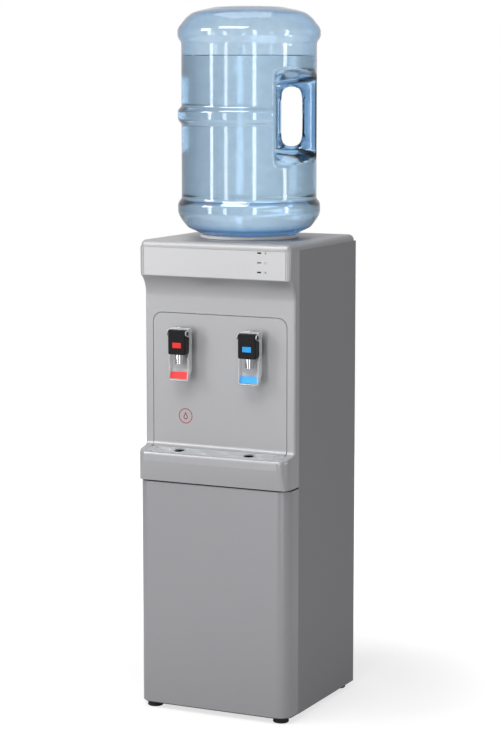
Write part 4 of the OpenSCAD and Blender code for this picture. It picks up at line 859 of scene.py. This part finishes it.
def relax_rim(piece, grow, rounds=7, near=0.006):
    """Rounds the rim of the finger hole by letting the points near it settle between their neighbours."""
    work = bmesh.new()
    work.from_mesh(piece.data)
    c, s = math.cos(grip_turn), math.sin(grip_turn)
    picked = []
    for v in work.verts:
        x, y, z = v.co.x, v.co.y - axis_y, v.co.z - grip_mid
        u = x * c + y * s - hole_out
        dx, dz = abs(u) - (hole_wide / 2 - hole_round), abs(z) - (hole_high / 2 - hole_round)
        gap = math.hypot(max(dx, 0), max(dz, 0)) + min(max(dx, dz), 0) - (hole_round + grow)
        if abs(y * c - x * s) < 0.03 and -0.002 < gap < near and 0.04 < u + hole_out < 0.12:
            picked.append(v)
    all_ways = {"use_axis_x": True, "use_axis_y": True, "use_axis_z": True}
    for _ in range(rounds):
        bmesh.ops.smooth_vert(work, verts=picked, factor=0.5, **all_ways)
    work.to_mesh(piece.data)
    work.free()


def with_hole(name, inset, rings, finish, grow, surface=False):
    """A shell of the wall with its finger hole cut and the hole's rim rounded."""
    shell = carve(skin_of(name, inset, rings, finish, surface), [finger_hole(inset)])
    relax_rim(shell, grow)
    return shell


def join_shells(outer, inner):
    """Opens both shells at the mouth and bridges them with the bottle's rim."""
    inner.data.flip_normals()
    work = bmesh.new()
    work.from_mesh(outer.data)
    work.from_mesh(inner.data)
    lids = [f for f in work.faces if all(abs(v.co.z - mouth_z) < 0.0025 for v in f.verts)
            and min(math.hypot(v.co.x, v.co.y - axis_y) for v in f.verts) < 0.001]
    bmesh.ops.delete(work, geom=lids, context="FACES")
    bmesh.ops.bridge_loops(work, edges=[e for e in work.edges if e.is_boundary])
    work.to_mesh(outer.data)
    work.free()
    bpy.data.objects.remove(inner)
    shade(outer, 60)


print("bottle tools ready")

# %% Bottle and water
bottle_wall, water_gap = 0.0014, 0.0003
outer = with_hole("bottle_blow_moulding", 0.0, picks, bottle_blue, 0.0)
inner = with_hole("inside", bottle_wall, picks, bottle_blue, bottle_wall)
join_shells(outer, inner)
tie(outer, "bottle", "bottle", "bottle")
water_line = foot_z - 0.0895
surface_ring = np.interp(foot_z - water_line, fine_h, index)
water_rings = [p for p in picks if foot_z - np.interp(p, index, fine_h) < water_line]
water = with_hole("water", bottle_wall - water_gap, np.array([surface_ring, *water_rings]), water_clear,
                  bottle_wall, surface=True)
tie(water, "bottle", "bottle")

# %% [markdown]
# ## The taps
# Each tap is a black block with a coloured window, a chrome spout and a clear lever. The packed
# parts have the right shapes but sharp edges. A rounding of a few tenths of a millimetre catches
# the light along every edge, which is most of what makes small moulded parts look real.

# %% Taps
for side, finish, slot in (("hot", red, "red"), ("cold", blue, "blue")):
    lever = side + "_paddle"
    remake(side + "_tap_body", side + "_tap_block", black_gloss, "cabinet", "black_gloss", 0.0006, least=30)
    remake(lever, side + "_lever", clear, lever, "clear_plastic", 0.0005, least=30)
    remake(side + "_strip", side + "_lever_strip", finish, lever, slot, 0.0003)
    remake(side + "_window", side + "_lens", finish, "cabinet", slot, 0.0003)
remake("tap_spouts", "chrome_spouts", chrome, "cabinet", "chrome", 0.0006, 3)

# %% [markdown]
# The levers turn on pins, whose ends show on the sides of the taps. A small black cap covers each
# end: a disc with a slanted rim, made of rings of points round the pin.

# %% Black caps on the pivot pins
pin_low, pin_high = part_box("pivot_pins")
pin_y, pin_z = (pin_low.y + pin_high.y) / 2, (pin_low.z + pin_high.z) / 2
cap_foot = pin_high.x - tap_x - 0.0005
cap_rings = [(0.0, 0.0), (0.0041, 0.0), (0.0041, 0.0004), (0.0036, 0.0007), (0.0, 0.0007)]
cap_turns = np.linspace(0, 2 * math.pi, 20, endpoint=False)
cap_points, cap_faces = [], []
for tap in (-tap_x, tap_x):
    for side in (-1, 1):
        cap_faces += grid_faces(len(cap_rings), len(cap_turns), len(cap_points), close_columns=True)
        cap_points += [(tap + side * (cap_foot + rise), pin_y + r * math.cos(a), pin_z + r * math.sin(a))
                       for r, rise in cap_rings for a in cap_turns]
caps = new_piece("pivot_caps", cap_points, cap_faces, black_gloss, 30)
weld(caps.data, 1e-7, outward=True)
tie(caps, "cabinet", "black_gloss")

# %% [markdown]
# ## Printed marks
# Small marks stand beside the lamps: a flame for heating, a ring for power and a star of six arms
# for cooling. A ring with a drop marks the hot side. On the machine they are a film of ink, so each
# is a plate a few hundredths of a millimetre thick, cut to the outline of its mark.

# %% Printed marks
def turned(line, degrees):
    c, s = math.cos(math.radians(degrees)), math.sin(math.radians(degrees))
    return [(x * c - y * s, x * s + y * c) for x, y in line]


def round_outline(radius, count=28):
    turns_round = np.linspace(0, 2 * math.pi, count, endpoint=False)
    return [(radius * math.cos(a), radius * math.sin(a)) for a in turns_round]


def drop_outline(width, height, count=22):
    """A drop: a round foot that runs up to a point."""
    r = width / 2
    line = [(r * math.cos(a), r * math.sin(a)) for a in np.radians(np.linspace(-90, 30, count + 1))]
    line += [(r * 0.42, r * 1.25), (0, height - r)]
    return line + [(-x, z) for x, z in line[-2:0:-1]]


def shrunk(line, share, lower=0.0):
    return [(x * share, z * share - lower) for x, z in line]


def ink_mark(name, places, finish, body, slot):
    """Plates on a front face. Each place is (outline in mm, hole in mm or None, x, y, z in metres)."""
    points, faces = [], []
    for outline, hole, x, y, z in places:
        first, n = len(points), len(outline)
        inner = hole or shrunk(outline, 0.02)
        points += [(x + px / 1000, y + depth, z + pz / 1000)
                   for depth in (-0.00004, 0.00006) for line in (outline, inner) for px, pz in line]
        for k in range(n):
            j = (k + 1) % n
            a, b, c, d = first, first + n, first + 2 * n, first + 3 * n
            faces += [(a + k, a + j, b + j, b + k), (c + j, c + k, d + k, d + j),
                      (a + j, a + k, c + k, c + j), (b + k, b + j, d + j, d + k)]
        if not hole:
            faces += [tuple(range(b, c)), tuple(range(d + n - 1, d - 1, -1))]
    piece = new_piece(name, points, faces, finish, 30)
    weld(piece.data, 1e-8, outward=True)
    return tie(piece, body, slot)


def beside(node, outline, hole=None, lower=0.0):
    """Where the mark for a lamp stands on the header plate."""
    low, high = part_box(node)
    return outline, hole, mark_x, header_face, (low.z + high.z) / 2 - lower


mark_gap = 0.0129
mark_x = (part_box("lamp_power")[0].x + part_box("lamp_power")[1].x) / 2 + mark_gap
flame, drop = drop_outline(3.4, 5.0), drop_outline(9.0, 15.0)
arm = [(-2.4, -0.3), (2.4, -0.3), (2.4, 0.3), (-2.4, 0.3)]
ink_mark("lamp_marks", [
    beside("lamp_heating", flame, shrunk(flame, 0.5, 0.2), 0.0006),
    beside("lamp_power", round_outline(2.3), round_outline(1.75)),
    *(beside("lamp_cooling", turned(arm, degrees)) for degrees in (0, 60, 120))],
    ink_grey, "cabinet", "black_plastic")
hot_x, hot_z = -0.0706, 0.561
ink_mark("hot_water_mark", [
    (round_outline(14.3, 48), round_outline(12.7, 48), hot_x, wall_face, hot_z),
    (drop, shrunk(drop, 0.6), hot_x, wall_face, hot_z - 0.002)], ink_red, "cabinet", "red")

# %% [markdown]
# ## Parts that repeat, with Geometry Nodes
# Screws and the ridges of the drip grille are the same form again and again, so a node tree makes
# them: it takes a plain carrier of points or lines, and puts a screw on each point or sweeps a ridge
# along each line. Sizes are named inputs of the tree. The tree ends in real geometry with its
# material, which is then stored as a plain mesh.

# %% Tools for geometry trees
def geometry_tree(name, sizes):
    tree = bpy.data.node_groups.new(name, "GeometryNodeTree")
    tree.interface.new_socket("Geometry", in_out="INPUT", socket_type="NodeSocketGeometry")
    for size, value in sizes.items():
        tree.interface.new_socket(size, in_out="INPUT", socket_type="NodeSocketFloat").default_value = value
    tree.interface.new_socket("Geometry", in_out="OUTPUT", socket_type="NodeSocketGeometry")
    return tree, tree.nodes.new("NodeGroupInput").outputs


def end_tree(tree, source, finish):
    """Turns instances into real geometry and gives it its material."""
    real = add_node(tree, "GeometryNodeRealizeInstances", source)
    add_node(tree, "NodeGroupOutput", add_node(tree, "GeometryNodeSetMaterial", real, Material=finish))


def grow(name, points, edges, tree, sizes):
    """Runs the tree on a carrier of points and edges, and keeps the result as a plain mesh."""
    mesh = bpy.data.meshes.new(name)
    mesh.from_pydata(points, edges, [])
    piece = show(name, mesh)
    modifier = piece.modifiers.new("parts", "NODES")
    modifier.node_group = tree
    for item in tree.interface.items_tree:
        if item.item_type == "SOCKET" and item.in_out == "INPUT" and item.name in sizes:
            modifier[item.identifier] = sizes[item.name]
    return settle(piece)


print("geometry tools ready")

# %% [markdown]
# A screw head is a flattened ball with a cross cut into it by two bars. One head is put on each
# point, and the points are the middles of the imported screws, found as groups of near corners.

# %% Rear screws
head_sizes = {"Head radius": 0.0038, "Head height": 0.002, "Slot width": 0.0009}
tree, given = geometry_tree("screw_heads", head_sizes)
ball = add_node(tree, "GeometryNodeMeshUVSphere", Segments=24, Rings=16, Radius=1.0)
wide, tall = given["Head radius"], given["Head height"]
squash = add_node(tree, "ShaderNodeCombineXYZ", wide, tall, wide)
cap = add_node(tree, "GeometryNodeTransform", ball, Scale=squash)
cut = add_node(tree, "GeometryNodeMeshBoolean", cap, operation="DIFFERENCE", solver="EXACT")
bar_size, bar_rise = (0.0046, 0.0026, 0.0046), (0, 0.0022, 0)
for thin in (0, 2):
    size = add_node(tree, "ShaderNodeCombineXYZ", *bar_size)
    tree.links.new(given["Slot width"], size.inputs[thin])
    bar = add_node(tree, "GeometryNodeMeshCube", size)
    bar = add_node(tree, "GeometryNodeTransform", bar, Translation=bar_rise)
    tree.links.new(bar.outputs[0], cut.inputs["Mesh 2"])
end_tree(tree, add_node(tree, "GeometryNodeInstanceOnPoints", given["Geometry"], Instance=cut), bare_steel)

head_sunk, apart = 0.00202, 0.02
screw_groups = []
for v in nodes["panel_screws"].data.vertices:
    near = [group for group in screw_groups if (group[0] - v.co).length < apart]
    if near:
        near[0].append(v.co)
    else:
        screw_groups.append([v.co])
places = []
for group in screw_groups:
    low, high = ([pick(c[k] for c in group) for k in range(3)] for pick in (min, max))
    places.append(((low[0] + high[0]) / 2, high[1] - head_sunk, (low[2] + high[2]) / 2))
screws = grow("rear_screws", places, [], tree, head_sizes)
shade(screws, 35)
tie(screws, "cabinet", "bare_steel", "panel_screws")
print("screws:", len(places))

# %% [markdown]
# The ridges of the grille are straight lines that a sine wave bends, with an oval swept along each.
# The lines stop short of the two round holes. The wave leans from ridge to ridge, so neighbours
# run a little out of step.

# %% Ridges of the drip grille
ridge_sizes = {"Wave height": 0.0015, "Wave step": 108.2, "Wave lean": 157.1, "Wave start": 0.2967,
               "Ridge width": 0.0019, "Ridge height": 0.0007}
tree, given = geometry_tree("grille_ridges", ridge_sizes)
curve = add_node(tree, "GeometryNodeMeshToCurve", given["Geometry"])
dense = add_node(tree, "GeometryNodeResampleCurve", curve, Count=60)
spot = add_node(tree, "ShaderNodeSeparateXYZ", add_node(tree, "GeometryNodeInputPosition")).outputs
phase = add_math(tree, "MULTIPLY", spot["X"], given["Wave step"])
phase = add_math(tree, "MULTIPLY_ADD", spot["Y"], given["Wave lean"], phase)
sine = add_math(tree, "SINE", add_math(tree, "ADD", phase, given["Wave start"]))
move = add_node(tree, "ShaderNodeCombineXYZ", Y=add_math(tree, "MULTIPLY", sine, given["Wave height"]))
waved = add_node(tree, "GeometryNodeSetPosition", dense, Offset=move)
ring = add_node(tree, "GeometryNodeCurvePrimitiveCircle", Resolution=12, Radius=0.5)
flat = add_node(tree, "ShaderNodeCombineXYZ", given["Ridge height"], given["Ridge width"], 1.0)
oval = add_node(tree, "GeometryNodeTransform", ring, Scale=flat)
end_tree(tree, add_node(tree, "GeometryNodeCurveToMesh", waved, oval, Fill_Caps=True), grille_grey)

hole_x, ridge_end, ring_radius, ring_gap = 72, 122, 13.6, 0.8
lines, edges = [], []
for y in (-13.1, -7.85, -2.6, 2.6, 7.85, 13.1):
    spans_x = [(-ridge_end, ridge_end)]
    if abs(y) < 13:
        gap = math.sqrt(ring_radius ** 2 - y * y) + ring_gap
        spans_x = [(-ridge_end, -hole_x - gap), (-hole_x + gap, hole_x - gap), (hole_x + gap, ridge_end)]
    for a, b in spans_x:
        edges.append((len(lines), len(lines) + 1))
        lines += [(a / 1000, y / 1000, 0), (b / 1000, y / 1000, 0)]
ridges = grow("grille_ridges", lines, edges, tree, ridge_sizes)
grille_y = (grille_low.y + grille_high.y) / 2
grille_z = ledge_back - (wall_face - grille_y) * slope - 0.00025
for v in ridges.data.vertices:
    x, y, z = v.co
    c, s = math.cos(ledge_tilt), math.sin(ledge_tilt)
    v.co = (x, grille_y + y * c - z * s, grille_z + y * s + z * c)
shade(ridges, 50)
tie(ridges, "drip_grille", "tray")
print("ridges:", len(edges))

# %% [markdown]
# ## The stage and the light
# The machine stands in a plain white studio. The floor takes its shadow, and it is lifted to white
# with its own light, most of all far from the machine. Only the camera sees that light in full,
# straight or through clear parts, and mirrors see a part of it. It never lights the machine.

# %% Floor
floor_paint, tree, surface = new_material("studio_floor", {
    "Base Color": (0.34, 0.34, 0.34, 1), "Roughness": 0.9, "Specular IOR Level": 0.0,
    "Emission Color": (1, 1, 1, 1)})
rays = add_node(tree, "ShaderNodeLightPath").outputs
seen = add_math(tree, "MAXIMUM", rays["Is Camera Ray"], rays["Is Transmission Ray"])
seen = add_math(tree, "MULTIPLY_ADD", rays["Is Glossy Ray"], 0.4, seen, use_clamp=True)
far = add_vector_math(tree, "LENGTH", object_place(tree))
lift = add_span(tree, far, (0.3, 0.8), (0.70, 1.0), "SMOOTHSTEP")
tree.links.new(add_math(tree, "MULTIPLY", seen, lift).outputs[0], surface.inputs["Emission Strength"])
reach = 2.6
floor_corners = [(-reach, -reach, 0), (reach, -reach, 0), (reach, reach, 0), (-reach, reach, 0)]
new_piece("studio_floor", floor_corners, [(0, 1, 2, 3)], floor_paint)
print("floor ready")

# %% [markdown]
# The room has three faces. The camera sees plain white. Mirrors and clear parts see a room that is
# grey on the camera's side and grows white behind the machine, which draws dark and light bands on
# the bottle. Everything else is lit by an even, weak fill.

# %% World
world = bpy.data.worlds.new("studio")
bpy.context.scene.world = world
world.use_nodes = True
tree = world.node_tree
tree.nodes.clear()
rays = add_node(tree, "ShaderNodeLightPath").outputs
heading = add_node(tree, "ShaderNodeTexCoord").outputs["Generated"]
towards = add_vector_math(tree, "DOT_PRODUCT", heading, (-0.43, 0.90, 0.0))
greys = ((0.0, 0.34), (0.35, 0.18), (0.62, 0.24), (0.80, 0.42), (0.92, 0.62), (0.98, 0.82), (1.0, 1.0))
room = add_ramp(tree, add_span(tree, towards, (-1.0, 1.0)),
                [(place, (grey, grey, grey * 1.01)) for place, grey in greys])
fill = add_node(tree, "ShaderNodeBackground", (0.23, 0.23, 0.24, 1))
mirrored = add_node(tree, "ShaderNodeBackground", room)
white = add_node(tree, "ShaderNodeBackground", (1, 1, 1, 1))
either = add_math(tree, "MAXIMUM", rays["Is Glossy Ray"], rays["Is Transmission Ray"])
unseen = add_node(tree, "ShaderNodeMixShader", either, fill, mirrored)
whole = add_node(tree, "ShaderNodeMixShader", rays["Is Camera Ray"], unseen, white)
add_node(tree, "ShaderNodeOutputWorld", whole)
print("world ready")

# %% [markdown]
# A soft key stands high on the left and a wide lamp hangs above the front. Tall, narrow lamps on
# both sides draw the bright upright lines on the bottle and on the rounded corners of the paint.
# Each lamp aims at a point on the machine's axis.

# %% Lamps
def soft_lamp(name, place, aim_z, size, power):
    lamp = bpy.data.lights.new(name, "AREA")
    lamp.shape = "RECTANGLE"
    lamp.size, lamp.size_y = size
    lamp.energy = power
    holder = show(name, lamp)
    holder.location = place
    x, y, z = place
    holder.rotation_euler = (math.atan2(math.hypot(x, y), z - aim_z), 0, math.atan2(x, -y))


soft_lamp("key", (-2.1, -1.9, 2.1), 0.9, (0.9, 0.9), 34)
soft_lamp("above the front", (-0.1, -1.35, 2.45), 0.8, (1.3, 0.9), 33)
soft_lamp("right strip", (1.87, -2.72, 1.05), 0.9, (0.34, 2.0), 13)
soft_lamp("left edge strip", (-1.9, -2.3, 1.15), 1.05, (0.3, 1.7), 11)
soft_lamp("left strip", (-0.65, -2.82, 0.85), 0.85, (0.3, 1.6), 7)
soft_lamp("side strip", (2.8, -0.1, 1.2), 0.95, (0.3, 1.5), 9)
soft_lamp("top", (-0.3, 0.4, 3.2), 0.0, (1.4, 1.4), 9)
bpy.context.scene.view_settings.view_transform = "Standard"
print("lamps ready")
